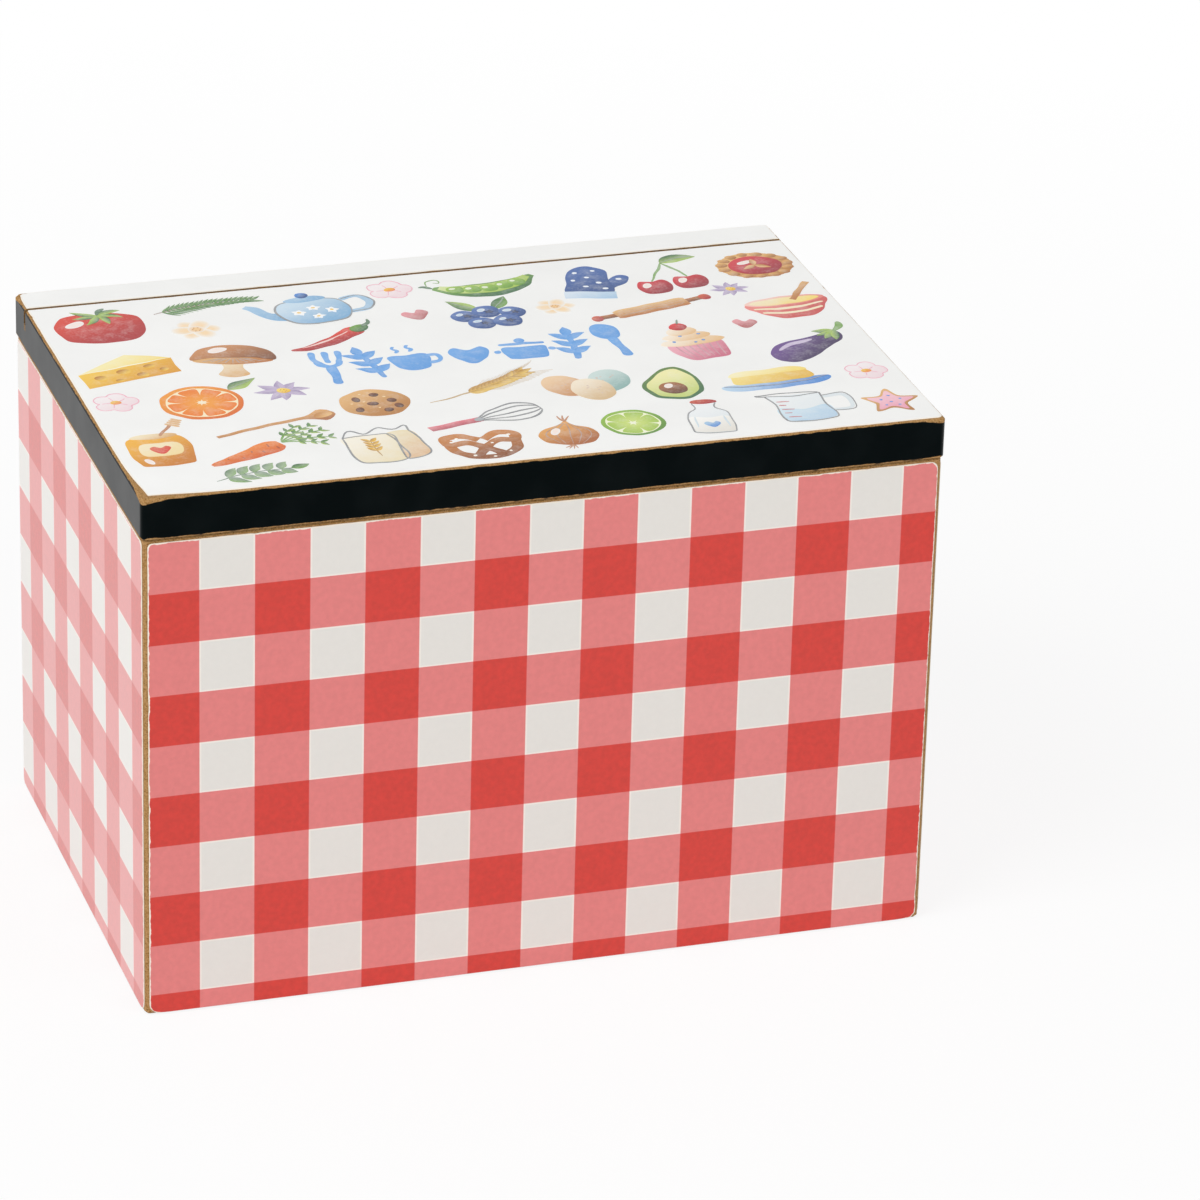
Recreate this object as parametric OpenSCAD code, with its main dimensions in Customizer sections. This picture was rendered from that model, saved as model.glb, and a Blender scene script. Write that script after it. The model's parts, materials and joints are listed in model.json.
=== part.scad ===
// Recipe card box: a butt-jointed fibreboard carcass covered in printed paper, with a
// flush painted lid on two small brass butt hinges and a saw-cut slot that holds a card.
// Millimetres. The origin is the middle of the resting face, +Z is up, the front is at -Y.

/* [Box] */
// Outside width of the body, over its papers
body_w = 158; // [120:1:240]
// Outside depth of the body, over its papers
body_d = 105; // [80:1:180]
// Height of the body, without the lid
body_h = 99.5; // [70:0.5:160]
// Thickness of the four wall boards
wall_t = 8.5; // [8:0.5:12]
// Thickness of the floor board
floor_t = 6; // [4:0.5:10]
// Radius sanded on the upright corners of the body
body_corner_r = 1.1; // [0.8:0.1:3]
// Width of the sanding on the body's top and bottom arrises
body_arris = 0.5; // [0.2:0.1:0.7]

/* [Lid] */
// Thickness of the lid board, without its paper
lid_t = 8.3; // [7:0.1:14]
// How far the lid stands out over the body, all round
lid_overhang = 0.2; // [0:0.1:1]
// Radius sanded on the upright corners of the lid
lid_corner_r = 1.3; // [1.3:0.1:5]
// Width of the sanding on the lid's top arris
lid_arris = 0.5; // [0.4:0.1:1.2]
// Width of the easing on the lid's bottom arris
lid_under_arris = 0.3; // [0.1:0.1:0.8]

/* [Card slot] */
// Width of the saw cut
slot_w = 1.2; // [0.8:0.1:2.5]
// Depth of the saw cut below the lid board's top
slot_depth = 3; // [2:0.1:4]
// Distance from the lid's back edge to the middle of the cut
slot_back = 9.1; // [9:0.1:30]

/* [Paper] */
// Thickness of the glued paper
paper_t = 0.2; // [0.1:0.05:0.4]
// Gap between the body papers and the top of the body
paper_top_gap = 0.7; // [0.7:0.1:2]
// Gap between the body papers and the resting face
paper_foot_gap = 0.7; // [0.7:0.1:2]
// Gap between the back paper and the hinge leaves
paper_hinge_gap = 0.3; // [0.1:0.1:1]

/* [Hinges] */
// Length of each hinge
hinge_len = 25; // [20:1:40]
// Distance from the side of the body to the middle of the nearer hinge
hinge_inset = 31; // [22:1:50]
// Thickness of the brass leaves
leaf_t = 0.9; // [0.7:0.1:1.2]
// How far a leaf reaches onto its board from the back of the body
leaf_reach = 7; // [6:0.5:7.5]
// Gap between the two leaves when the lid is shut
leaf_gap = 0.3; // [0.2:0.05:0.6]
// Outside radius of the knuckles
knuckle_r = 1.6; // [1.4:0.1:2.2]
// Length of the lid leaf's middle knuckle
mid_knuckle_len = 9; // [6:0.5:12]
// Radius of the hinge pin
pin_r = 0.75; // [0.6:0.05:0.9]
// Radius of the pin's two peened ends
pin_head_r = 1.15; // [1.1:0.05:1.4]
// Thickness of each peened end
pin_head_t = 0.4; // [0.3:0.1:0.8]

/* [Fits] */
// Radial running clearance of the lid knuckle on its pin
pin_clear = 0.05; // [0.02:0.01:0.08]
// Gap between neighbouring knuckles, along the pin
knuckle_gap = 0.2; // [0.1:0.05:0.4]
// Gap between the knuckles and the wood behind the lid and body
knuckle_clear = 0.5; // [0.5:0.1:1]
// Clearance of the leaves in their mortises
mortise_clear = 0.1; // [0.05:0.05:0.3]
// Clearance of a screw in its leaf
screw_clear = 0.05; // [0.02:0.01:0.1]

/* [Screws and brads] */
// Distance between the two screws of a leaf
screw_pitch = 15; // [13:0.5:17]
// Distance from the back of the body to the screws
screw_back = 3.6; // [3.4:0.1:4]
// Radius of the screw shank
screw_r = 0.8; // [0.6:0.05:0.9]
// Radius of the countersunk screw head
screw_head_r = 1.6; // [1.5:0.05:1.8]
// Height of the countersunk screw head
screw_head_h = 0.75; // [0.5:0.05:0.8]
// Length of the screws in the body
body_screw_len = 9.5; // [7:0.5:14]
// Length of the screws in the lid
lid_screw_len = 6; // [5:0.5:6.5]
// Width of the cross recess in the screw heads
cross_w = 0.45; // [0.3:0.05:0.6]
// Depth of the cross recess in the screw heads
cross_depth = 0.4; // [0.3:0.05:0.5]
// Radius of the brads
brad_r = 0.6; // [0.4:0.1:0.8]
// Length of the brads
brad_len = 20; // [15:1:25]
// Radius of the brad heads
brad_head_r = 0.95; // [0.9:0.05:1.3]
// Thickness of the brad heads
brad_head_t = 0.6; // [0.4:0.1:1]

/* [Hidden] */

// Outside of the boards, inside their papers
carcass_w = body_w - 2 * paper_t;
carcass_d = body_d - 2 * paper_t;
// Clear inside of the carcass
inner_w = carcass_w - 2 * wall_t;
inner_d = carcass_d - 2 * wall_t;
// Outline of the lid
lid_w = body_w + 2 * lid_overhang;
lid_d = body_d + 2 * lid_overhang;
// Hinge axis: level with the top of the body, behind its back
axis_y = body_d / 2 + lid_overhang + knuckle_clear + knuckle_r;
axis_z = body_h;
hinge_x = body_w / 2 - hinge_inset;
// Leaf edges, measured along Y
leaf_front_y = body_d / 2 - leaf_reach;
screw_y = body_d / 2 - screw_back;
slot_y = lid_d / 2 - slot_back;
// Facets of round work, and a small excess that lets a cut pass its face
fine = 48;
past = 1;

board_colour = [0.07, 0.075, 0.08];
gingham_colour = [0.89, 0.52, 0.51];
print_colour = [0.94, 0.94, 0.93];
brass_colour = [0.80, 0.65, 0.33];
steel_colour = [0.62, 0.63, 0.65];

// Rectangle with round corners
module rounded_outline(w, d, r) {
    square([w - 2 * r, d], center = true);
    square([w, d - 2 * r], center = true);
    for (sx = [-1, 1], sy = [-1, 1])
        translate([sx * (w / 2 - r), sy * (d / 2 - r)]) circle(r, $fn = fine);
}

// Section of an eased block across one of its lengths, d wide
module eased_section(d, h, c_low, c_high) {
    polygon([
        [-d / 2 + c_low, 0], [d / 2 - c_low, 0], [d / 2, c_low], [d / 2, h - c_high],
        [d / 2 - c_high, h], [-d / 2 + c_high, h], [-d / 2, h - c_high], [-d / 2, c_low]
    ]);
}

// Block with round upright corners and sanded top and bottom arrises
module eased_block(w, d, h, r, c_low, c_high) {
    rotate([90, 0, 90]) linear_extrude(w - 2 * r, center = true) eased_section(d, h, c_low, c_high);
    rotate([90, 0, 0]) linear_extrude(d - 2 * r, center = true) eased_section(w, h, c_low, c_high);
    for (sx = [-1, 1], sy = [-1, 1]) translate([sx * (w / 2 - r), sy * (d / 2 - r), 0])
        rotate_extrude($fn = fine) polygon([
            [0, 0], [r - c_low, 0], [r, c_low], [r, h - c_high], [r - c_high, h], [0, h]
        ]);
}

module box_centred(size) {
    translate([-size[0] / 2, -size[1] / 2, 0]) cube(size);
}

// Countersunk wood screw, head face at z = 0, pointing down
module screw(len, grow = 0) {
    tip = 2 * screw_r;
    translate([0, 0, -screw_head_h])
        cylinder(h = screw_head_h, r1 = screw_r + grow, r2 = screw_head_r + grow, $fn = fine);
    translate([0, 0, tip - len]) cylinder(h = len - tip - screw_head_h, r = screw_r + grow, $fn = fine);
    translate([0, 0, -len]) cylinder(h = tip, r1 = 0.2 * screw_r, r2 = screw_r + grow, $fn = fine);
}

module cross_recess() {
    for (a = [0, 90]) rotate(a)
        translate([-0.75 * screw_head_r, -cross_w / 2, -cross_depth])
            cube([1.5 * screw_head_r, cross_w, cross_depth + past]);
}

module recessed_screw(len) {
    difference() {
        screw(len);
        cross_recess();
    }
}

// Brad lying along +Y, head first
module brad() {
    rotate([-90, 0, 0]) {
        cylinder(h = brad_len, r = brad_r, $fn = fine);
        cylinder(h = brad_head_t, r = brad_head_r, $fn = fine);
    }
}

// Places of the screws on a leaf of the hinge on side s
module at_screws(s) {
    for (k = [-1, 1]) translate([s * hinge_x + k * screw_pitch / 2, screw_y, 0]) children();
}

module body_screws_at_leaf() {
    for (s = [-1, 1]) at_screws(s) translate([0, 0, axis_z - leaf_gap / 2]) children();
}

module lid_screws_at_leaf() {
    for (s = [-1, 1]) at_screws(s) translate([0, 0, axis_z + leaf_gap / 2]) mirror([0, 0, 1]) children();
}

// Brads through the front and back boards into the ends of the side boards
module wall_brads() {
    for (sx = [-1, 1], k = [0.2, 0.5, 0.8])
        translate([sx * (carcass_w - wall_t) / 2, -carcass_d / 2, k * body_h]) brad();
}

// Brads through all four walls into the edges of the floor board
module floor_edge_brads() {
    for (a = [0, 180], k = [-1, 0, 1]) rotate(a)
        translate([k * inner_w / 3, -carcass_d / 2, floor_t / 2]) brad();
    for (a = [90, 270], k = [-1, 1]) rotate(a)
        translate([k * inner_d / 4, -carcass_w / 2, floor_t / 2]) brad();
}

module all_brads() {
    wall_brads();
    mirror([0, 1, 0]) wall_brads();
    floor_edge_brads();
}

module carcass() {
    eased_block(carcass_w, carcass_d, body_h, body_corner_r, body_arris, body_arris);
}

// Mortise of both leaves of the hinge on side s, open at the back
module leaf_mortises(s) {
    depth = leaf_gap / 2 + leaf_t;
    front = leaf_front_y - mortise_clear;
    translate([s * hinge_x - hinge_len / 2 - mortise_clear, front, axis_z - depth])
        cube([hinge_len + 2 * mortise_clear, axis_y - front, 2 * depth]);
}

module front_panel() {
    color(board_colour) difference() {
        intersection() {
            carcass();
            translate([0, (wall_t - carcass_d) / 2, 0]) box_centred([carcass_w, wall_t, body_h]);
        }
        all_brads();
    }
}

module back_panel() {
    color(board_colour) difference() {
        intersection() {
            carcass();
            translate([0, (carcass_d - wall_t) / 2, 0]) box_centred([carcass_w, wall_t, body_h]);
        }
        all_brads();
        for (s = [-1, 1]) leaf_mortises(s);
        body_screws_at_leaf() screw(body_screw_len);
    }
}

module side_panel(s) {
    color(board_colour) difference() {
        intersection() {
            carcass();
            translate([s * (carcass_w - wall_t) / 2, 0, 0]) box_centred([wall_t, inner_d, body_h]);
        }
        all_brads();
    }
}

module floor_panel() {
    color(board_colour) difference() {
        box_centred([inner_w, inner_d, floor_t]);
        floor_edge_brads();
    }
}

// Paper on a wall of the given length, lying on the plane y = -depth / 2 of the boards
module wall_paper(length, depth) {
    w = length - 2 * body_corner_r;
    h = body_h - paper_top_gap - paper_foot_gap;
    translate([0, -depth / 2, paper_foot_gap + h / 2]) rotate([90, 0, 0])
        linear_extrude(paper_t) rounded_outline(w, h, body_corner_r);
}

module front_paper() {
    color(gingham_colour) wall_paper(carcass_w, carcass_d);
}

module back_paper() {
    trim = leaf_gap / 2 + leaf_t + paper_hinge_gap;
    color(gingham_colour) difference() {
        mirror([0, 1, 0]) wall_paper(carcass_w, carcass_d);
        for (s = [-1, 1]) translate([s * hinge_x, body_d / 2, axis_z - trim])
            box_centred([hinge_len + 2 * paper_hinge_gap, 4 * paper_t, trim]);
    }
}

module side_paper(s) {
    color(gingham_colour) rotate(s * 90) wall_paper(carcass_d, carcass_w);
}

module front_brads() {
    color(steel_colour) wall_brads();
}

module back_brads() {
    color(steel_colour) mirror([0, 1, 0]) wall_brads();
}

module floor_brads() {
    color(steel_colour) floor_edge_brads();
}

module card_slot() {
    translate([0, slot_y, body_h + lid_t - slot_depth])
        box_centred([lid_w + 2 * past, slot_w, slot_depth + paper_t + past]);
}

module lid_board() {
    color(board_colour) difference() {
        translate([0, 0, body_h])
            eased_block(lid_w, lid_d, lid_t, lid_corner_r, lid_under_arris, lid_arris);
        card_slot();
        for (s = [-1, 1]) leaf_mortises(s);
        lid_screws_at_leaf() screw(lid_screw_len);
    }
}

// The lid's paper in front of the slot (side -1) or behind it (side 1)
module lid_paper(side) {
    color(print_colour) translate([0, 0, body_h + lid_t]) intersection() {
        linear_extrude(paper_t)
            rounded_outline(lid_w - 2 * lid_arris, lid_d - 2 * lid_arris, lid_corner_r - lid_arris);
        translate([0, slot_y + side * (slot_w / 2 + lid_d), -past])
            box_centred([lid_w, 2 * lid_d, paper_t + 2 * past]);
    }
}

// Stretches of the hinge along X that belong to the lid leaf, or to the body leaf
function lid_knuckles() = [[-mid_knuckle_len / 2, mid_knuckle_len / 2]];
function body_knuckles() = [
    [-hinge_len / 2, -mid_knuckle_len / 2 - knuckle_gap],
    [mid_knuckle_len / 2 + knuckle_gap, hinge_len / 2]
];

module tube_along_x(span, r) {
    translate([span[0], axis_y, axis_z]) rotate([0, 90, 0])
        cylinder(h = span[1] - span[0], r = r, $fn = fine);
}

// Leaf with its plate below the axis; own and other are its knuckles and its partner's
module leaf(own, other, bore_r) {
    top = axis_z - leaf_gap / 2;
    difference() {
        union() {
            translate([-hinge_len / 2, leaf_front_y, top - leaf_t])
                cube([hinge_len, axis_y - leaf_front_y, leaf_t]);
            for (k = own) tube_along_x(k, knuckle_r);
        }
        for (k = own) tube_along_x([k[0] - past, k[1] + past], bore_r);
        for (k = other)
            translate([k[0] - knuckle_gap, axis_y - knuckle_r - knuckle_gap, axis_z - 2 * knuckle_r])
                cube([k[1] - k[0] + 2 * knuckle_gap, 2 * knuckle_r + 2 * knuckle_gap, 4 * knuckle_r]);
        for (k = [-1, 1]) translate([k * screw_pitch / 2, screw_y, top]) {
            screw(body_screw_len, screw_clear);
            cylinder(h = past, r = screw_head_r + screw_clear, $fn = fine);
        }
    }
}

module hinge_body_leaf(s) {
    color(brass_colour) translate([s * hinge_x, 0, 0]) leaf(body_knuckles(), lid_knuckles(), pin_r);
}

module hinge_lid_leaf(s) {
    color(brass_colour) translate([s * hinge_x, 0, 2 * axis_z]) mirror([0, 0, 1])
        leaf(lid_knuckles(), body_knuckles(), pin_r + pin_clear);
}

module hinge_pin(s) {
    half = hinge_len / 2;
    color(brass_colour) translate([s * hinge_x, 0, 0]) {
        tube_along_x([-half - pin_head_t, half + pin_head_t], pin_r);
        tube_along_x([-half - pin_head_t, -half], pin_head_r);
        tube_along_x([half, half + pin_head_t], pin_head_r);
    }
}

module body_hinge_screws() {
    color(brass_colour) body_screws_at_leaf() recessed_screw(body_screw_len);
}

module lid_hinge_screws() {
    color(brass_colour) lid_screws_at_leaf() recessed_screw(lid_screw_len);
}

front_panel();
back_panel();
side_panel(-1);  // left_side_panel
side_panel(1);  // right_side_panel
floor_panel();
front_paper();
back_paper();
side_paper(-1);  // left_side_paper
side_paper(1);  // right_side_paper
front_brads();
back_brads();
floor_brads();
lid_board();
lid_paper(-1);  // lid_paper_main
lid_paper(1);  // lid_paper_rear_strip
hinge_body_leaf(-1);  // left_hinge_body_leaf
hinge_lid_leaf(-1);  // left_hinge_lid_leaf
hinge_pin(-1);  // left_hinge_pin
hinge_body_leaf(1);  // right_hinge_body_leaf
hinge_lid_leaf(1);  // right_hinge_lid_leaf
hinge_pin(1);  // right_hinge_pin
body_hinge_screws();
lid_hinge_screws();
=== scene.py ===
# %% [markdown]
# # A gingham recipe card box
# This is a small kitchen box of fibreboard. Its walls are wrapped in printed gingham paper, its
# lid is one painted board on two brass hinges, and a slot is sawn across the lid. This lesson
# dresses the measured model of the box: worn paper sheets, a gingham print, a watercolour print
# on the lid, and the finishes of paint, bare board and brass.

# %% Load the measured model
import json
import math
from functools import partial

import bmesh
import bpy
import numpy as np
from mathutils import Matrix, Vector


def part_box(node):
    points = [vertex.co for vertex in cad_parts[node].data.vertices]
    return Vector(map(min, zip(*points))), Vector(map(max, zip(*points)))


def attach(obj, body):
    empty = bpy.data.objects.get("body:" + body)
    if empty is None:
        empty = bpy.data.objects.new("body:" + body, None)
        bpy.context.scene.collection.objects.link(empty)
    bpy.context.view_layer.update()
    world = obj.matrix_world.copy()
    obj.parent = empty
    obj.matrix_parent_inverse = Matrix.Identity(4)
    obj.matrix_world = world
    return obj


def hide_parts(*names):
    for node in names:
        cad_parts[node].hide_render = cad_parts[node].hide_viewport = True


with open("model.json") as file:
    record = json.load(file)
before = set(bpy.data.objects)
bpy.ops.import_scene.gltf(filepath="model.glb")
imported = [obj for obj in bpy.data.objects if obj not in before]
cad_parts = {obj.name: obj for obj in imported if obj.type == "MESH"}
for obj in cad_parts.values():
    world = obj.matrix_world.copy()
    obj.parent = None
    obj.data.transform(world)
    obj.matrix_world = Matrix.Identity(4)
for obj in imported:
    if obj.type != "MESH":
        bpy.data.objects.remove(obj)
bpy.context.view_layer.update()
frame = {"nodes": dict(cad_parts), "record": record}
MM = 0.001

# %% [markdown]
# ## The camera
# A long lens from a little above and to the left shows the front, the left side and the lid.
# Three angles place it: yaw turns it towards the box, pitch tips it down and roll leans it.
# The three directions below are the columns of the camera's matrix.

# %% Camera
YAW, PITCH, ROLL = (math.radians(angle) for angle in (18.29, 24.63, 1.59))
EYE = np.array([-328.0, -1076.2, 571.6]) * MM
LENS_MM = 187.0

forward = np.array([math.sin(YAW) * math.cos(PITCH), math.cos(YAW) * math.cos(PITCH), -math.sin(PITCH)])
level = np.array([math.cos(YAW), -math.sin(YAW), 0.0])
right = math.cos(ROLL) * level + math.sin(ROLL) * np.cross(level, forward)
up = np.cross(right, forward)

placing = np.eye(4)
placing[:3] = np.column_stack([right, up, -forward, EYE])
camera = bpy.data.objects.new("camera", bpy.data.cameras.new("camera"))
camera.data.lens = LENS_MM
camera.data.sensor_width = 36.0
camera.data.clip_start = 0.05
camera.matrix_world = Matrix(placing)
bpy.context.scene.collection.objects.link(camera)
bpy.context.scene.camera = camera
print("the camera stands", round(float(np.linalg.norm(EYE)), 2), "m from the box")

# %% [markdown]
# ## Colours and nodes
# Colours are written as the hex values that a paint chart gives, and one function turns them
# into the linear numbers that light is added up in. Every material below is built by one
# function, `add_node`, which makes a node, sets it, links it and gives back its output. `add` is
# that function with one material's tree filled in.

# %% Colour and node helpers
# A Mix node's two numbers answer to "A" and "B", its two colours only to their place in the row
MIX_A, MIX_B = 6, 7
COLOURS = dict(out=2, data_type="RGBA")
# Nearly all values of a noise lie between these
NOISE = (0.3, 0.7)


def linear(hex_colour, alpha=1.0):
    """An sRGB hex value in linear light: c / 12.92 below 0.04045, else ((c + 0.055) / 1.055) ** 2.4."""
    c = np.array([int(hex_colour[i:i + 2], 16) for i in (1, 3, 5)]) / 255
    return (*np.where(c <= 0.04045, c / 12.92, ((c + 0.055) / 1.055) ** 2.4), alpha)


def add_node(tree, kind, inputs=(), out=0, **settings):
    """Adds one node and returns its output out, or all of them for None. inputs are values or other nodes'
    outputs: a list in the sockets' order, or a dictionary by the sockets' names or numbers."""
    made = tree.nodes.new("ShaderNode" + kind)
    for name, value in settings.items():
        setattr(made, name, value)
    for key, value in enumerate(inputs) if isinstance(inputs, list) else dict(inputs).items():
        if isinstance(value, bpy.types.NodeSocket):
            tree.links.new(value, made.inputs[key])
        else:
            made.inputs[key].default_value = value
    return made.outputs[out] if out is not None and made.outputs else made.outputs


def new_material(name):
    """A material, its own add, and its object coordinates as a vector and as X, Y and Z."""
    made = bpy.data.materials.new(name)
    made.use_nodes = True
    made.node_tree.nodes.clear()
    add = partial(add_node, made.node_tree)
    place = add("TexCoord", out="Object")
    return made, add, place, add("SeparateXYZ", [place], out=None)


def finish_parts(names, material):
    """Gives parts of the measured model one material."""
    for name in names:
        slots = frame["nodes"][name].data.materials
        slots.clear()
        slots.append(material)


def per(size_mm):
    """How many features of this size fit in a metre, which is a texture's scale."""
    return 1 / (size_mm * MM)


print("mid grey #808080 is", round(float(linear("#808080")[0]), 3), "in linear light")

# %% [markdown]
# ## Painted fibreboard
# The boards are medium-density fibreboard, brushed with near-black acrylic paint that dries to
# a satin film. After the papers are glued on, the arrises are rubbed with sandpaper, which
# bares the brown fibre. The inside got one thin coat, so brush strokes and a little of the
# board's brown show through. Paint and fibre share one material, and two masks say where the
# fibre shows and where the coat is thin.

# %% Bare and painted board
PAINT, PAINT_WORN = "#040A0B", "#0B1112"
THIN_COAT, THIN_STROKE = "#181A1B", "#332E28"
FIBRE_PALE, FIBRE_MID, FIBRE_DARK = "#BC9465", "#98713F", "#584023"
FILM_ROUGH, THIN_ROUGH, FIBRE_ROUGH = (0.3, 0.42), 0.6, 0.9
GLOSS_FROM, GLOSS = (0.2, 0.7), (0.03, 0.22)
# Gloss for a renderer that can't read gloss growing towards a glancing view, as this one does
PLAIN_GLOSS = 0.1


def board_material(name, masks):
    """Satin paint over fibreboard. masks(add, xyz, wander) says where fibre is bare and paint is thin."""
    made, add, place, xyz = new_material(name)
    wander, fibres, brushed = (add("TexNoise", {"Vector": place, "Scale": per(size), "Detail": detail})
                               for size, detail in ((2.2, 4.0), (0.35, 5.0), (9.0, 6.0)))
    specks = add("TexVoronoi", {"Vector": place, "Scale": per(0.5)}, out="Distance")
    along = add("Mapping", {"Vector": place, "Scale": (0.06, 0.4, 1.0)})
    strokes = add("TexNoise", {"Vector": along, "Scale": per(1.6), "Detail": 4.0})
    bare, thin = masks(add, xyz, wander)

    pale = add("MapRange", [fibres, 0.35, 0.65])
    fibre = add("Mix", {0: pale, MIX_A: linear(FIBRE_MID), MIX_B: linear(FIBRE_PALE)}, **COLOURS)
    speck = add("MapRange", [specks, 0.12, 0.3, 0.8, 0.0])
    fibre = add("Mix", {0: speck, MIX_A: fibre, MIX_B: linear(FIBRE_DARK)}, **COLOURS)
    worn = add("MapRange", [brushed, 0.45, 0.75])
    paint = add("Mix", {0: worn, MIX_A: linear(PAINT), MIX_B: linear(PAINT_WORN)}, **COLOURS)
    stroke = add("MapRange", [strokes, 0.4, 0.75])
    coat = add("Mix", {0: stroke, MIX_A: linear(THIN_COAT), MIX_B: linear(THIN_STROKE)}, **COLOURS)
    paint = add("Mix", {0: thin, MIX_A: paint, MIX_B: coat}, **COLOURS)
    colour = add("Mix", {0: bare, MIX_A: paint, MIX_B: fibre}, **COLOURS)

    film = add("MapRange", [brushed, 0, 1, *FILM_ROUGH])
    rough = add("Mix", {0: thin, "A": film, "B": THIN_ROUGH})
    rough = add("Mix", {0: bare, "A": rough, "B": FIBRE_ROUGH})
    aslant = add("LayerWeight", {"Blend": 0.5}, out="Facing")
    gloss = add("MapRange", [aslant, *GLOSS_FROM, *GLOSS])
    grain = add("Mix", {0: thin, "A": brushed, "B": strokes})
    grain = add("Mix", {0: bare, "A": grain, "B": fibres})
    bump = add("Bump", {"Height": grain, "Strength": 0.25, "Distance": 0.15 * MM})
    shader = add("BsdfPrincipled", {"Base Color": colour, "Roughness": rough, "Normal": bump, "IOR": 1.45,
                                    "Specular IOR Level": gloss})
    shader.node.inputs["Specular IOR Level"].default_value = PLAIN_GLOSS
    add("OutputMaterial", [shader])
    return made


print(f"paint reflects {linear(PAINT)[1]:.1%} of green light and bare fibre {linear(FIBRE_MID)[1]:.0%}")

# %% [markdown]
# The body is rubbed on every outside edge. A point near an edge is near two faces at once, so
# the second smallest of its distances to the faces in X, Y and Z is small. That middle value is
# max(min(a, b), min(max(a, b), c)). The inside is whatever lies deeper than all the outside
# faces, so there the smallest of the three is large. On the rim and the underside, the paint
# has cracked into a hairline over each butt joint between two boards.

# %% Where the body is bare
BODY_LOW, BODY_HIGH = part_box("front_panel")[0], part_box("back_panel")[1]
body_centre = tuple((BODY_LOW + BODY_HIGH) / 2)
body_half = tuple((BODY_HIGH - BODY_LOW) / 2)
JOINT_X, JOINT_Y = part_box("floor_panel")[1][:2]
HAIRLINE, FLUSH = 0.08 * MM, 0.05 * MM
RUBBED_LEAST, RUBBED_MOST = 0.9 * MM, 1.9 * MM
SOFT_EDGE = 0.04 * MM
INSIDE_NEAR, INSIDE_FAR = 1 * MM, 4 * MM


def body_masks(add, xyz, wander):
    """Bare where two outside faces are both near, by about 1.3 mm. Thinly painted underneath and inside."""
    place = add("CombineXYZ", [xyz[0], xyz[1], xyz[2]])
    off = add("VectorMath", [place, body_centre], operation="SUBTRACT")
    off = add("VectorMath", [off], operation="ABSOLUTE")
    gap = add("VectorMath", [body_half, off], operation="SUBTRACT")
    a, b, c = add("SeparateXYZ", [gap], out=None)
    near = add("Math", [a, b], operation="MINIMUM")
    far = add("Math", [add("Math", [a, b], operation="MAXIMUM"), c], operation="MINIMUM")
    middle = add("Math", [near, far], operation="MAXIMUM")
    reach = add("MapRange", [wander, 0, 1, RUBBED_LEAST, RUBBED_MOST])
    rubbed = add("Math", [reach, middle], operation="SUBTRACT")
    bare = add("MapRange", [rubbed, -SOFT_EDGE, SOFT_EDGE])

    off_x, off_y, _ = add("SeparateXYZ", [off], out=None)
    along_x = add("Math", [off_y, JOINT_Y, HAIRLINE], operation="COMPARE")
    along_y = add("Math", [off_x, JOINT_X, HAIRLINE], operation="COMPARE")
    between = add("Math", [off_y, JOINT_Y], operation="LESS_THAN")
    along_y = add("Math", [along_y, between], operation="MULTIPLY")
    crack = add("Math", [along_x, along_y], operation="MAXIMUM")
    crack = add("Math", [crack, add("Math", [c, FLUSH], operation="LESS_THAN")], operation="MULTIPLY")
    crack = add("Math", [crack, wander], operation="MULTIPLY")
    bare = add("Math", [bare, crack], operation="MAXIMUM")

    nearest = add("Math", [near, c], operation="MINIMUM")
    inside = add("MapRange", [nearest, INSIDE_NEAR, INSIDE_FAR])
    under = add("Math", [xyz[2], FLUSH], operation="LESS_THAN")
    return bare, add("Math", [inside, under], operation="MAXIMUM")


BODY_BOARDS = ("front_panel", "back_panel", "left_side_panel", "right_side_panel", "floor_panel")
finish_parts(BODY_BOARDS, board_material("satin_acrylic_over_fibreboard", body_masks))
print("the body's boards measure", [round(2 * half / MM, 1) for half in body_half], "mm together")

# %% [markdown]
# The lid is rubbed along its top arris, most of all at the four corners, and a little along the
# arris below. Its slot is sawn after the painting, so the slot's walls are bare fibre, mixed about
# half way to the paint's black as painted shade for the deep, narrow cut. The masks read how far
# a point lies below the lid's top, above its underside, from the nearest side and corner, and from the slot.

# %% Where the lid is bare
LID_LOW, LID_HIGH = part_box("lid_board")
SLOT_FRONT, SLOT_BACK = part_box("lid_paper_main")[1].y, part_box("lid_paper_rear_strip")[0].y
slot_middle, slot_half = (SLOT_FRONT + SLOT_BACK) / 2, (SLOT_BACK - SLOT_FRONT) / 2
CORNER_REACH = 7 * MM
# The slot's walls are only this share bare fibre; the rest is the paint's black, as painted shade in the cut
SAWN_ABOVE, SAWN_MARGIN, SLOT_BARE_UNDER_PAINTED_SHADE = 4 * MM, 0.03 * MM, 0.55


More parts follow.
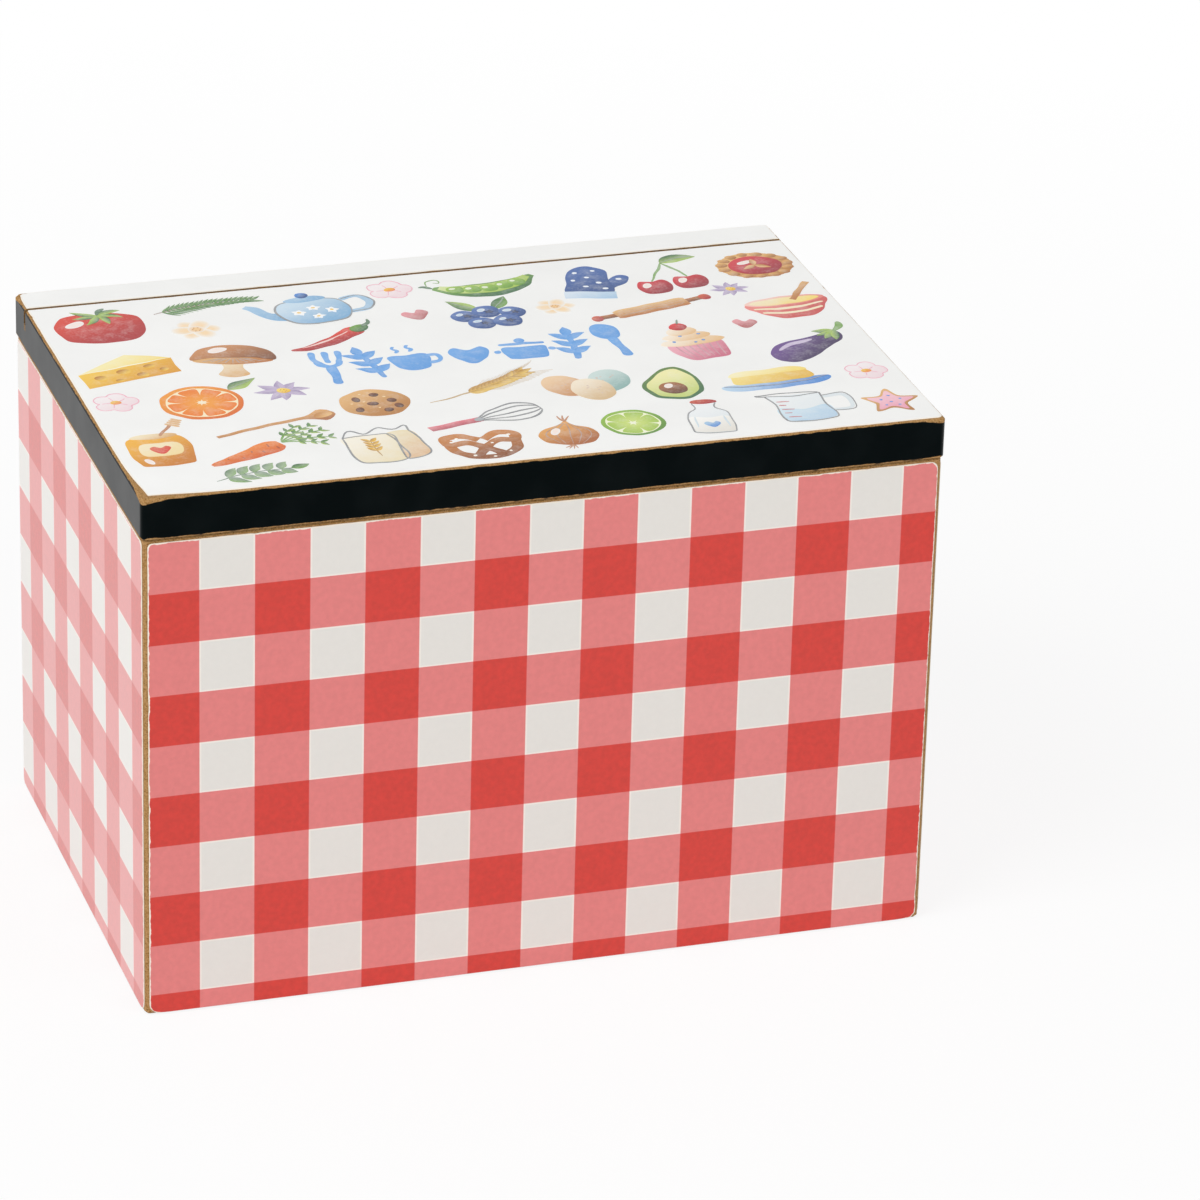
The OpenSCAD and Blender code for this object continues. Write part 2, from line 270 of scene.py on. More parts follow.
def lid_masks(add, xyz, wander):
    """Bare 0.3 mm down from the lid's top, 1.2 mm at a corner, and a little up from its underside. Half bare
    in the slot, where the other half is the paint's black as painted shade in the narrow cut. Thinly painted
    on the underside, away from the sides."""
    from_side = []
    for axis in (0, 1):
        off = add("Math", [xyz[axis]], operation="ABSOLUTE")
        from_side.append(add("Math", [(LID_HIGH - LID_LOW)[axis] / 2, off], operation="SUBTRACT"))
    side = add("Math", from_side, operation="MINIMUM")
    corner = add("Math", from_side, operation="MAXIMUM")
    corner = add("MapRange", [corner, 0, CORNER_REACH, 1, 0])
    corner = add("Math", [corner, 2.0], operation="POWER")
    high = add("Math", [xyz[2], LID_LOW.z], operation="SUBTRACT")
    reaches = []
    for most, at_corner in ((0.5 * MM, 0.9 * MM), (0.6 * MM, 0.2 * MM)):
        reach = add("MapRange", [wander, 0, 1, 0.1 * MM, most])
        reaches.append(add("Math", [corner, at_corner, reach], operation="MULTIPLY_ADD"))

    above = add("Math", [xyz[2], reaches[0]], operation="ADD")
    top = add("MapRange", [above, LID_HIGH.z - SOFT_EDGE, LID_HIGH.z + SOFT_EDGE])
    in_arris = add("Math", [high, side], operation="ADD")
    rubbed = add("Math", [reaches[1], in_arris], operation="SUBTRACT")
    foot = add("MapRange", [rubbed, -SOFT_EDGE, SOFT_EDGE])
    # In the slot, bare fibre mixed with the paint's black is painted shade for the narrow cut
    sawn = add("Math", [xyz[1], slot_middle, slot_half + SAWN_MARGIN], operation="COMPARE")
    upper = add("Math", [high, SAWN_ABOVE], operation="GREATER_THAN")
    sawn = add("Math", [add("Math", [sawn, upper], operation="MULTIPLY"), SLOT_BARE_UNDER_PAINTED_SHADE], operation="MULTIPLY")
    bare = add("Math", [add("Math", [top, foot], operation="MAXIMUM"), sawn], operation="MAXIMUM")

    inside = add("MapRange", [side, INSIDE_NEAR, INSIDE_FAR])
    under = add("Math", [high, 2 * FLUSH], operation="LESS_THAN")
    return bare, add("Math", [inside, under], operation="MULTIPLY")


finish_parts(["lid_board"], board_material("satin_acrylic_over_lid_board", lid_masks))
print("the slot is", round(2 * slot_half / MM, 2), "mm wide")

# %% [markdown]
# ## Worn paper sheets
# Each paper is a sheet 0.2 mm thick, glued on and then sanded back at its edges, which nibbles
# the outline and tears the top layer to show a white core. The outline is worked out as one
# array of points round a rectangle with round corners. Rings of the same points, each moved a
# little inwards, carry the surface from the glue face over the torn edge and onto the print.

# %% Outline of a sheet
STEP, ARC_POINTS, LEAST_RADIUS = 0.4 * MM, 10, 0.02 * MM
FINE_WEAR, COARSE_WEAR, BITE_DEPTH = 0.03, 0.08, 0.16


def round_rectangle(width, height, radii, inset=0.0):
    """Points round a rectangle moved inwards by inset. Its corners are arcs: centre + r (cos t, sin t), and
    radii start at the lower left and go anticlockwise. Every inset gives the same number of points."""
    arcs = []
    for (sx, sy, start), radius in zip([(-1, -1, 180), (1, -1, 270), (1, 1, 0), (-1, 1, 90)], radii):
        r = max(radius - inset, LEAST_RADIUS)
        t = np.radians(np.linspace(start, start + 90, ARC_POINTS))
        centre = np.array([sx * (width / 2 - inset - r), sy * (height / 2 - inset - r)])
        arcs.append(centre + r * np.column_stack([np.cos(t), np.sin(t)]))
    points = []
    for k, side in enumerate((width, height, width, height)):
        along = np.linspace(0, 1, int(side / STEP))[1:-1, None]
        begin, end = arcs[k][-1], arcs[(k + 1) % 4][0]
        points += [arcs[k], begin + along * (end - begin)]
    return np.concatenate(points)


def nibbled(count, rng, bites=14):
    """How far sandpaper moved each outline point inwards, in metres: two noises and bell-shaped bites, each
    depth^2 * exp(-(distance / reach)^2)."""
    u = np.arange(count)
    worn = np.zeros(count)
    for size, every in ((FINE_WEAR, 2), (COARSE_WEAR, 14)):
        knots = rng.random(count // every + 2)
        knots[-1] = knots[0]
        worn += size * np.interp(u, np.linspace(0, count, len(knots)), knots)
    for at, depth, reach in zip(rng.integers(0, count, bites), rng.random(bites), rng.random(bites)):
        apart = np.abs((u - at + count / 2) % count - count / 2)
        worn += BITE_DEPTH * depth**2 * np.exp(-((apart / (1 + 3 * reach)) ** 2))
    return worn * MM


print("a 100 x 50 mm sheet has", len(round_rectangle(100 * MM, 50 * MM, [MM] * 4)), "outline points")

# %% [markdown]
# Joining ring k to ring k + 1 gives four-sided faces. Points and faces become a mesh object, and
# numbers or colours kept with each point can be read by its material. Recalculating the normals
# turns every face outwards, so the arrays may list a face's points either way round.

# %% Faces and mesh objects
def ring_faces(rings, count, closed=True):
    """Quads between neighbouring rings of count points, as an array of point numbers."""
    along = np.arange(count if closed else count - 1)
    k, u = np.meshgrid(np.arange(rings - 1) * count, along, indexing="ij")
    ahead = (u + 1) % count
    return np.stack([k + u, k + ahead, k + count + ahead, k + count + u], -1).reshape(-1, 4)


def make_piece(name, points, faces, material, numbers=(), colours=()):
    """A mesh object from arrays, with named values per point and faces turned outwards."""
    mesh = bpy.data.meshes.new(name)
    mesh.from_pydata(points.tolist(), [], faces)
    for kind, field, named in (("FLOAT", "value", numbers), ("FLOAT_COLOR", "color", colours)):
        for key, values in dict(named).items():
            kept = mesh.attributes.new(key, kind, "POINT")
            kept.data.foreach_set(field, np.asarray(values, np.float32).ravel())
    turning = bmesh.new()
    turning.from_mesh(mesh)
    bmesh.ops.recalc_face_normals(turning, faces=turning.faces)
    turning.to_mesh(mesh)
    turning.free()
    mesh.materials.append(material)
    made = bpy.data.objects.new(name, mesh)
    bpy.context.scene.collection.objects.link(made)
    return made


print("three rings of eight points give", len(ring_faces(3, 8)), "faces")

# %% [markdown]
# A sheet's rings lie at given distances inwards and heights above the glue face. The wear fades
# from ring to ring, so the innermost one is even. One flat face closes the glued side, and a fan
# of triangles round a middle point closes the printed side. A number kept with each point,
# `rim`, is its distance from the torn edge, and the material reads it.

# %% A worn sheet
RINGS_MM = [(0.03, 0.0), (0.0, 0.03), (0.02, 0.1), (0.1, 0.17), (0.26, 0.2), (0.6, 0.2), (2.2, 0.2)]
FOOT_BAND, FOOT_ENDS, FOOT_PRINTED = 0.3 * MM, 2 * MM, 0.5


def worn_sheet(name, size, radii, stand, material, seed, rubbed=(), foot_torn=1.0):
    """A closed sheet of the given size. stand(s, t, h) puts a point of the flat sheet, raised by h, in the
    box's frame. rubbed lists places (s, t, depth, reach) where the edge is worn back further, like a bell.
    foot_torn is how far the lower edge shares the wear, apart from its ends."""
    outer = round_rectangle(*size, radii)
    count = len(outer)
    even, thickness = RINGS_MM[-1]
    inward = (round_rectangle(*size, radii, even * MM) - outer) / (even * MM)
    worn = nibbled(count, np.random.default_rng(seed))
    for s, t, depth, reach in rubbed:
        worn += depth * np.exp(-((outer - (s, t)) ** 2).sum(1) / reach**2)
    at_foot = outer[:, 1] < FOOT_BAND - size[1] / 2
    from_end = size[0] / 2 - np.abs(outer[:, 0])
    whole = (1 - foot_torn) * at_foot * np.clip(from_end / FOOT_ENDS - 1, 0, 1)
    worn = (worn * (1 - whole))[:, None]
    rings, rim = [], []
    for inset, height in RINGS_MM:
        flat = outer + inward * (inset * MM + worn * (1 - inset / even))
        rings.append(stand(flat[:, 0], flat[:, 1], np.full(count, height * MM)))
        rim.append(inset + FOOT_PRINTED * whole * (height > thickness / 4))
    rings.append(stand(np.zeros(1), np.zeros(1), np.full(1, thickness * MM)))
    rim.append([even])
    last = (len(RINGS_MM) - 1) * count + np.arange(count)
    fan = np.column_stack([last, np.roll(last, -1), np.full(count, len(RINGS_MM) * count)])
    faces = ring_faces(len(RINGS_MM), count).tolist() + [list(range(count))] + fan.tolist()
    made = make_piece(name, np.concatenate(rings), faces, material, {"rim": np.concatenate(rim)})
    print(f"{name}: {size[0] / MM:.1f} x {size[1] / MM:.1f} mm, {len(made.data.polygons)} faces")
    return made


print("a sheet is", RINGS_MM[-1][1], "mm thick")

# %% [markdown]
# ## Gingham print
# Gingham is a woven check: white and red stripes cross, and where a red stripe crosses a white
# one the threads average to pink. On this paper it is printed. A triangle wave of the distance
# along the sheet passes one half exactly at each stripe's border, so a steep step at one half
# makes crisp stripes, and the wave's distance from one half finds the thin pale line that the
# print leaves along each border.

# %% Gingham paper
CHECK_WIDE, CHECK_HIGH = 10.7, 10.7 * 0.9835
STRIPE_EDGE, BORDER_LINE = (0.494, 0.506), (0.46, 0.49)
CLOUDED, CLOUDED_SHARE = (0.9, 1.08), (0.1, 0.8)
TEAR_MM, TEAR_SOFT = (0.08, 0.32), 0.05
PRINT_ROUGH, CORE_ROUGH = (0.3, 0.36), 0.9
ASLANT, VARNISH = (0.35, 0.7), 0.6
CHECK_WHITE, CHECK_CREAM, CHECK_PINK, CHECK_RED = "#E7E4DE", "#F8F1E8", "#E47F7D", "#D5372C"
PAPER_CORE = "#F3EBDD"


def gingham_material(name, axis, sign, across, down):
    """Gingham whose stripes start at even whole numbers of across + sign * coordinate / check width,
    and of down - height / check height."""
    made, add, place, xyz = new_material(name)
    cloud, grit = (add("TexNoise", {"Vector": place, "Scale": per(size), "Detail": detail})
                   for size, detail in ((1.1, 5.0), (0.3, 3.0)))
    stripes, borders = [], []
    ways = ((xyz[axis], sign * per(CHECK_WIDE), across), (xyz[2], -per(CHECK_HIGH), down))
    for start, scale, phase in ways:
        wave = add("Math", [start, scale, phase + 0.5], operation="MULTIPLY_ADD")
        wave = add("Math", [wave, 1.0], operation="PINGPONG")
        stripes.append(add("MapRange", [wave, *STRIPE_EDGE]))
        borders.append(add("MapRange", [wave, *BORDER_LINE]))
    border = add("Math", borders, operation="MAXIMUM")
    ground = add("Mix", {0: border, MIX_A: linear(CHECK_WHITE), MIX_B: linear(CHECK_CREAM)}, **COLOURS)
    once = add("Math", stripes, operation="MAXIMUM")
    twice = add("Math", stripes, operation="MULTIPLY")
    inks = add("Mix", {0: once, MIX_A: ground, MIX_B: linear(CHECK_PINK)}, **COLOURS)
    inks = add("Mix", {0: twice, MIX_A: inks, MIX_B: linear(CHECK_RED)}, **COLOURS)
    uneven = add("MapRange", [cloud, *NOISE, *CLOUDED])
    inked = add("Math", [once, twice], operation="ADD")
    inked = add("MapRange", [inked, 0, 2.0, *CLOUDED_SHARE])
    inks = add("Mix", {0: inked, MIX_A: inks, MIX_B: uneven}, blend_type="MULTIPLY", **COLOURS)

    rim = add("Attribute", out="Fac", attribute_name="rim")
    tear = add("MapRange", [cloud, *NOISE, *TEAR_MM])
    tear = add("Math", [tear, rim], operation="SUBTRACT")
    torn = add("MapRange", [tear, -TEAR_SOFT, TEAR_SOFT])
    colour = add("Mix", {0: torn, MIX_A: inks, MIX_B: linear(PAPER_CORE)}, **COLOURS)
    sheen = add("MapRange", [grit, *NOISE, *PRINT_ROUGH])
    rough = add("Mix", {0: torn, "A": sheen, "B": CORE_ROUGH})
    bump = add("Bump", {"Height": grit, "Strength": 0.12, "Distance": 0.05 * MM})
    aslant = add("LayerWeight", {"Blend": 0.5}, out="Facing")
    varnish = add("MapRange", [aslant, *ASLANT, 0, VARNISH])
    shader = add("BsdfPrincipled", {"Base Color": colour, "Roughness": rough, "Normal": bump, "IOR": 1.5,
                                    "Coat Weight": varnish, "Coat Roughness": 0.3})
    add("OutputMaterial", [shader])
    return made


print("a metre has", round(per(CHECK_WIDE)), "checks across and", round(per(CHECK_HIGH)), "checks down")

# %% [markdown]
# Every wall's paper was cut from the roll on its own, so the checks start at a different place
# on each side. The lower left corner of the front paper is rubbed roundest, where the box has
# been picked up and set down. The glue let each sheet spread a little past its outline, on all
# sides but the top, and the back paper ends just under the brass leaves of the hinges. The
# sandpaper passed over the foot lightly, so the print reaches down to the bottom arris.

# %% Papers on the four walls
X, Y = 0, 1
SPREAD, FOOT_SPREAD, FOOT_TORN = 0.35 * MM, 0.55 * MM, 0.15
UNDER_HINGES = 0.5 * MM
WALLS = {
    "front": dict(axis=X, sign=1, across=7.3685, down=8.397, radii=(2.0, 1.4, 1.5, 0.9), seed=3),
    "left_side": dict(axis=Y, sign=-1, across=3.922, down=8.354, radii=(1.4, 2.2, 1.2, 1.0), seed=5),
    "back": dict(axis=X, sign=-1, across=6.71, down=8.61, radii=(1.6, 1.8, 1.1, 1.1), seed=7),
    "right_side": dict(axis=Y, sign=1, across=5.28, down=8.47, radii=(1.8, 1.5, 1.0, 1.3), seed=11),
}

for wall, facts in WALLS.items():
    low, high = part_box(wall + "_paper")
    low.z -= FOOT_SPREAD
    high.z -= UNDER_HINGES if wall == "back" else 0
    middle = (low + high) / 2
    axis, outwards = facts["axis"], -1 if wall in ("front", "left_side") else 1
    glued = high if outwards < 0 else low

    def stand(s, t, h, axis=axis, middle=middle, glued=glued, outwards=outwards, sign=facts["sign"]):
        """Width along X or Y, height along Z, and the sheet's thickness outwards."""
        along, depth = middle[axis] + sign * s, glued[1 - axis] + outwards * h
        across = [along, depth] if axis == X else [depth, along]
        return np.column_stack([*across, t + middle.z])

    paper = gingham_material(f"gingham_printed_paper_{wall}",
                             *(facts[key] for key in ("axis", "sign", "across", "down")))
    sheet = worn_sheet(f"{wall}_gingham_sheet", (high[axis] - low[axis] + 2 * SPREAD, high.z - low.z),
                       [r * MM for r in facts["radii"]], stand, paper, facts["seed"], foot_torn=FOOT_TORN)
    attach(sheet, "body")
    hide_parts(wall + "_paper")

# %% [markdown]
# ## Lid papers
# The lid's paper is coated stock, left white. Plain white would look like plastic, so faint
# clouds age it, and the same function makes the paper stained with ink for the pictures.

# %% White coated paper
LID_WHITE, LID_WHITE_AGED = "#F8F8F6", "#F4F4F2"
POOLED, GRAINED = (0.84, 1.08), (0.92, 1.06)
RIM_PIGMENT, RIM_POWER = 0.16, 6.0
TORN_MM, TORN_MASK = (0.05, 0.4), (0.9, 0.0)
COATED_ROUGH = (0.42, 0.52)


def white_paper_material(name, stained=False):
    """Coated white paper with faint clouds, whose torn rim shows the cream core, or stained with ink."""
    made, add, place, _ = new_material(name)
    cloud, grit = (add("TexNoise", {"Vector": place, "Scale": per(size), "Detail": detail})
                   for size, detail in ((14.0, 5.0), (0.5, 3.0)))
    aged = add("MapRange", [cloud, 0.35, 0.7])
    white = add("Mix", {0: aged, MIX_A: linear(LID_WHITE), MIX_B: linear(LID_WHITE_AGED)}, **COLOURS)
    if stained:
        pool = add("TexNoise", {"Vector": place, "Scale": per(2.4), "Detail": 4.0})
        pool = add("MapRange", [pool, *NOISE, *POOLED])
        grain = add("MapRange", [grit, *NOISE, *GRAINED])
        edge, strength = (add("Attribute", out="Fac", attribute_name=key) for key in ("edge", "strength"))
        edge = add("Math", [edge, RIM_POWER], operation="POWER")
        wash = add("Math", [pool, grain], operation="MULTIPLY")
        wash = add("Math", [edge, RIM_PIGMENT, wash], operation="MULTIPLY_ADD")
        mask = add("Math", [wash, strength], operation="MULTIPLY", use_clamp=True)
        over = add("Attribute", out="Color", attribute_name="ink")
    else:
        rim = add("Attribute", out="Fac", attribute_name="rim")
        mask = add("MapRange", [rim, *TORN_MM, *TORN_MASK])
        over = linear(PAPER_CORE)
    colour = add("Mix", {0: mask, MIX_A: white, MIX_B: over}, **COLOURS)
    rough = add("MapRange", [grit, *NOISE, *COATED_ROUGH])
    bump = add("Bump", {"Height": grit, "Strength": 0.1, "Distance": 0.05 * MM})
    shader = add("BsdfPrincipled", {"Base Color": colour, "Roughness": rough, "Normal": bump, "IOR": 1.5})
    add("OutputMaterial", [shader])
    return made


print("white paper reflects", f"{linear(LID_WHITE)[1]:.0%}", "of green light")

# %% [markdown]
# The print on the lid is one sheet, and the slot is sawn through it afterwards, so a strip of
# the same sheet is left behind the slot. The saw leaves a burr of torn paper that overhangs
# the cut from both sides and narrows the dark line.

# %% Papers on the lid
BURR = 0.13 * MM
lid_white = white_paper_material("coated_white_paper")
# A sheet's name, its node, its corners' radii in mm, its most rubbed corner (which end in X, which side
# of the print in Y, depth and reach) and the seed of its wear
LID_SHEETS = (
    ("lid_print_sheet", "lid_paper_main", (0.8, 1.0, 0.15, 0.15), (-1, -1, 1.1 * MM, 9 * MM), 13),
    ("lid_rear_strip_sheet", "lid_paper_rear_strip", (0.15, 0.15, 0.8, 1.2), (-1, 1, 0.3 * MM, 3 * MM), 17),
)
for name, node, radii, worst, seed in LID_SHEETS:
    low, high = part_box(node)
    sawn_edge = high if worst[1] < 0 else low
    sawn_edge.y -= worst[1] * BURR
    middle = (low + high) / 2

    def lie(s, t, h, low=low, middle=middle):
        """Width along X, depth along Y and the sheet's thickness upwards."""
        return np.column_stack([middle.x + s, middle.y + t, low.z + h])

    width, depth = high.x - low.x, high.y - low.y
    worst = (worst[0] * width / 2, worst[1] * depth / 2, *worst[2:])
    sheet = worn_sheet(name, (width, depth), [r * MM for r in radii], lie, lid_white, seed, [worst])
    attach(sheet, "lid")
    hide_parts(node)

# %% [markdown]
# ## Watercolour print on the lid
# The lid carries kitchen pictures in watercolour: fruit, herbs, baking and pans. Watercolour
# is a stain in the paper, and a stain could be painted by a shader, but fifty small pictures
# are easier to draw as shapes. Each shape here is a wafer of ink far thinner than the paper,
# and its points carry the ink's colour, its strength and how near the shape's rim they are.
# The inks are a watercolour box of warm reds, greens, blues and browns, with pencil grey for
# outlines.

# %% Inks
TOMATO, DEEP_RED, ROSE, BLUSH = "#D8412F", "#A8282C", "#E4828C", "#F5BFB4"
ORANGE, STRAW, BUTTER, CREAM = "#EE8A3A", "#F0C23F", "#F8DE7A", "#F7E8C4"
TAN, CRUST, COCOA = "#DDAF76", "#B9743A", "#7A4A2E"
LEAF, LIME, PINE = "#6E9E3F", "#A9C65B", "#3E6B45"
SKY, BLUE, NAVY = "#A9CBE6", "#4C8BD4", "#2F4E86"
PLUM, LILAC, PINK, PENCIL, CLOUD = "#7B5A9C", "#B59CC9", "#EDA3B8", "#7D7F82", "#DDE6EA"
print("tomato red is", [round(float(part), 2) for part in linear(TOMATO)[:3]], "in linear light")

# %% [markdown]
# The shapes are drawn from a few kinds of path: a smooth curve through given points, the same
# with its left half mirrored from its right, an oval, and a stroke bent like a bow.

# %% Paths and outlines
def through(points, closed=False, step=0.55):
    """A smooth path through points a, b, c, d: between b and c it is the cubic
    (2b + (c - a) t + (2a - 5b + 4c - d) t^2 + (3b - a - 3c + d) t^3) / 2."""
    p = np.asarray(points, float)
    if closed:
        a, b, c, d = np.roll(p, 1, 0), p, np.roll(p, -1, 0), np.roll(p, -2, 0)
    else:
        p = np.concatenate([2 * p[:1] - p[1:2], p, 2 * p[-1:] - p[-2:-1]])
        a, b, c, d = p[:-3], p[1:-2], p[2:-1], p[3:]
    pieces = max(2, math.ceil(np.linalg.norm(c - b, axis=1).max() / step))
    t = (np.arange(pieces) / pieces)[None, :, None]
    a, b, c, d = (q[:, None] for q in (a, b, c, d))
    path = (2 * b + (c - a) * t + (2 * a - 5 * b + 4 * c - d) * t**2 + (3 * b - a - 3 * c + d) * t**3) / 2
    path = path.reshape(-1, 2)
    return path if closed else np.concatenate([path, p[-2:-1]])


def both_sides(half):
    """A smooth closed outline from the points of its right half, top to bottom, and their mirror images."""
    left = np.array(half, float)[::-1] * (-1, 1)
    return through(np.concatenate([half, left[left[:, 0] < 0]]), True)


def polar(r, degrees):
    """The points at distance r in the given directions: (r cos t, r sin t)."""
    t = np.radians(degrees)
    return np.stack([r * np.cos(t), r * np.sin(t)], -1)


def oval(x, y, rx, ry=None, turn=0.0):
    """An ellipse round (x, y): (rx cos t, ry sin t), turned by some degrees."""
    ry = rx if ry is None else ry
    t = np.linspace(0, 2 * np.pi, int(np.clip(18 * max(rx, ry) ** 0.5, 8, 44)), endpoint=False)
    c, s = polar(1, turn)
    u, v = rx * np.cos(t), ry * np.sin(t)
    return np.column_stack([x + c * u - s * v, y + s * u + c * v])


def bent(x, y, turn, length, bend=0.0, step=0.8):
    """A path from (x, y) with the given heading and length, whose middle stands off by bend."""
    u = np.linspace(0, 1, max(5, int(length / step)))
    c, s = polar(1, turn)
    along, off = length * u, 4 * bend * u * (1 - u)
    return np.column_stack([x + c * along - s * off, y + s * along + c * off])


HEART = both_sides([(0, 1), (1.3, 2), (2.5, 1), (2, -0.6), (0, -2.4)])
print("a heart's outline has", len(HEART), "points")

# %% [markdown]
# The brush turns paths into wafers. A blob is filled by rings that shrink towards its middle, and
# a band by lines that run along its path. Both give a grid of points, so one method joins them.
# A second colour that comes in along one direction gives the round things their shade, and a
# small wobble keeps the outlines drawn by hand.

# %% The brush
LAYER, WAFER_STEP, WAFERS_PER_LAYER, SUNK = 0.014, 0.0003, 46, -0.05
WOBBLE, PHASES = 0.07, 6.3
SHADE_SIDE = (0.5, -0.8)
RING_SHARES = np.array([0.35, 0.7, 0.9, 1.0])
BAND_SHARES = np.array([-1.0, -0.8, 0.0, 0.8, 1.0])


class Brush:
    """Lays wafers of ink in the lid's plane. Motifs draw in their own millimetres, which move() places."""

    def __init__(self, seed):
        self.rng = np.random.default_rng(seed)
        self.points, self.faces, self.inks, self.strengths, self.edges = [], [], [], [], []
        self.count = 0
        self.move(0, 0)

    def move(self, x, y, turn=0.0, size=1.0):
        """Puts the next motif at (x, y), turned by some degrees and enlarged."""
        c, s = polar(1, turn)
        self.at, self.turned = np.array([x, y]), size * np.array([[c, s], [-s, c]])
        self.laid = 0
        self.phases = self.rng.random(4) * PHASES

    def unsteady(self, xy):
        """A hand's wobble: every point moves by sines of its place."""
        x, y, (p, q, r, s) = xy[..., 0], xy[..., 1], self.phases
        return xy + WOBBLE * np.stack([np.sin(1.1 * y + p) + np.sin(2.3 * x + q),
                                       np.sin(1.2 * x + r) + np.sin(2.1 * y + s)], -1)

    def wafer(self, grid, edge, rim, cap, closed, ink, to, lean, strength=1.0, soft=0.0, layer=0):
        """Joins a grid of points into a thin closed wafer. Its ink runs to a second one along lean, by the
        smooth step r^2 (3 - 2 r), and is weaker by soft * edge^2."""
        flat, edge = grid.reshape(-1, 2), edge.ravel()
        under = len(flat) + np.arange(len(rim))
        skirt = np.stack([rim, under, np.roll(under, -1), np.roll(rim, -1)], -1)
        faces = ring_faces(*grid.shape[:2], closed).tolist() + skirt.tolist() + [under[::-1].tolist()] + cap
        run = flat @ np.array(lean) / np.hypot(*lean)
        run = (run - run.min()) / max(1e-9, np.ptp(run))
        run = (run * run * (3 - 2 * run))[:, None]
        colour = (1 - run) * np.array(linear(ink)) + run * np.array(linear(to or ink))

        self.laid += 1
        height = LAYER * (layer + 1) + WAFER_STEP * (self.laid % WAFERS_PER_LAYER)
        placed = self.unsteady(flat) @ self.turned + self.at
        top = np.column_stack([placed, np.full(len(flat), height)])
        low = np.column_stack([placed[rim], np.full(len(rim), SUNK)])
        self.points.append(np.concatenate([top, low]))
        power = strength * (1 - soft * edge**2)
        for kept, values in ((self.inks, colour), (self.strengths, power), (self.edges, edge)):
            kept.append(np.concatenate([values, values[rim]]))
        self.faces += [[self.count + i for i in face] for face in faces]
        self.count += len(flat) + len(rim)

    def blob(self, outline, ink, to=None, lean=SHADE_SIDE, **how):
        """Fills an outline with rings: centre + share * (outline - centre)."""
        centre, count = outline.mean(0), len(outline)
        rings = centre + RING_SHARES[:, None, None] * (outline - centre)
        edge = np.repeat(RING_SHARES[:, None], count, 1)
        rim = (len(RING_SHARES) - 1) * count + np.arange(count)
        self.wafer(rings, edge, rim, [list(range(count))], True, ink, to, lean, **how)

    def band(self, path, half, ink, to=None, lean=SHADE_SIDE, shares=BAND_SHARES, **how):
        """Fills a band along a path: path + share * half width * normal. Half widths lie at equal steps."""
        ahead = np.gradient(path, axis=0)
        normal = np.column_stack([-ahead[:, 1], ahead[:, 0]]) / np.linalg.norm(ahead, axis=1)[:, None]
        half = np.atleast_1d(half)
        half = np.interp(np.linspace(0, 1, len(path)), np.linspace(0, 1, len(half)), half)
        grid = path[:, None] + shares[None, :, None] * (half[:, None] * normal)[:, None]
        edge = np.broadcast_to(np.abs(shares), grid.shape[:2])
        number = np.arange(edge.size).reshape(edge.shape)
        rim = np.concatenate([number[:-1, 0], number[-1, :-1], number[:0:-1, -1], number[0, :0:-1]])
        self.wafer(grid, edge, rim, [], False, ink, to, lean, **how)


print("a layer of ink is", LAYER, "mm thick")

# %% [markdown]
# Most strokes repeat, so a fine brush knows them by name: a pen line, a pencil outline, the
# highlight on a wet cherry, a leaf and a row of dots. Each is a band or a blob, and a leaf's
# second ink comes in across it, so one half of the blade is darker.

# %% The fine brush
PRESSURE, STROKE_TIP = 0.12, np.array([0.03, 0.2, 0.55])


class FineBrush(Brush):
    """A brush that also draws lines, highlights, leaves and dots."""

    def line(self, points, width, ink, strength=0.9, layer=1, taper=0.5, smooth=True, to=None):
        """A pen stroke through points whose ends are half rounds. Its half width between them is
        width / 2 * (1 + pressure * sin(7 u + phase) - taper * |2 u - 1|^3)."""
        path = through(points) if smooth else np.asarray(points, float)
        gone = np.concatenate([[0], np.cumsum(np.linalg.norm(np.diff(path, axis=0), axis=1))])
        tip = width / 2 * STROKE_TIP
        inner = np.linspace(width / 2, gone[-1] - width / 2, max(2, len(path)))
        at = np.concatenate([tip, inner, gone[-1] - tip[::-1]])
        path = np.column_stack([np.interp(at, gone, path[:, 0]), np.interp(at, gone, path[:, 1])])
        u = at / gone[-1]
        press = 1 + PRESSURE * np.sin(7 * u + self.phases[0]) - taper * np.abs(2 * u - 1) ** 3
        from_end = np.minimum(1, np.minimum(at, gone[-1] - at) / (width / 2))
        half = width / 2 * press * np.sqrt(1 - (1 - from_end) ** 2)
        self.band(path, half, ink, to, strength=strength, layer=layer, shares=BAND_SHARES[::2])

    def outline(self, outline, layer, ink=PENCIL):
        """A pencil line all round a shape."""
        self.line(np.concatenate([outline, outline[:1]]), 0.25, ink, 0.85, layer, 0, False)

    def shine(self, x, y, rx, ry=None, turn=0.0, ink="#F9DFD2", layer=1):
        """A soft highlight, where a wet brush lifted the ink."""
        self.blob(oval(x, y, rx, ry, turn), ink, strength=0.78, soft=0.85, layer=layer)

    def leaf(self, x, y, turn, length, width, ink, to=None, bend=0.0, strength=0.95, layer=0, vein=None):
        """A leaf: a band whose half width is width / 2 * sin(pi u^0.8)."""
        path = bent(x, y, turn, length, bend, min(0.5, length / 8))
        u = np.linspace(0.01, 0.99, len(path))
        half = width / 2 * np.sin(np.pi * u**0.8)
        self.band(path, half, ink, to, polar(1, turn + 90), strength=strength, layer=layer)
        if vein:
            self.line(path[:-1], 0.22, vein, 0.7, layer + 1, smooth=False)

    def dots(self, places, radius, ink, strength=0.9, layer=1):
        """A round spot at each place."""
        for x, y in places:
            self.blob(oval(x, y, radius, radius * 0.85), ink, strength=strength, layer=layer)


def report_wafers(*motifs):
    """Prints how many wafers of ink each motif takes, on a brush of its own."""
    for motif in motifs:
        trial = FineBrush(0)
        motif(trial)
        print(f"{motif.__name__}: {len(trial.points)} wafers")


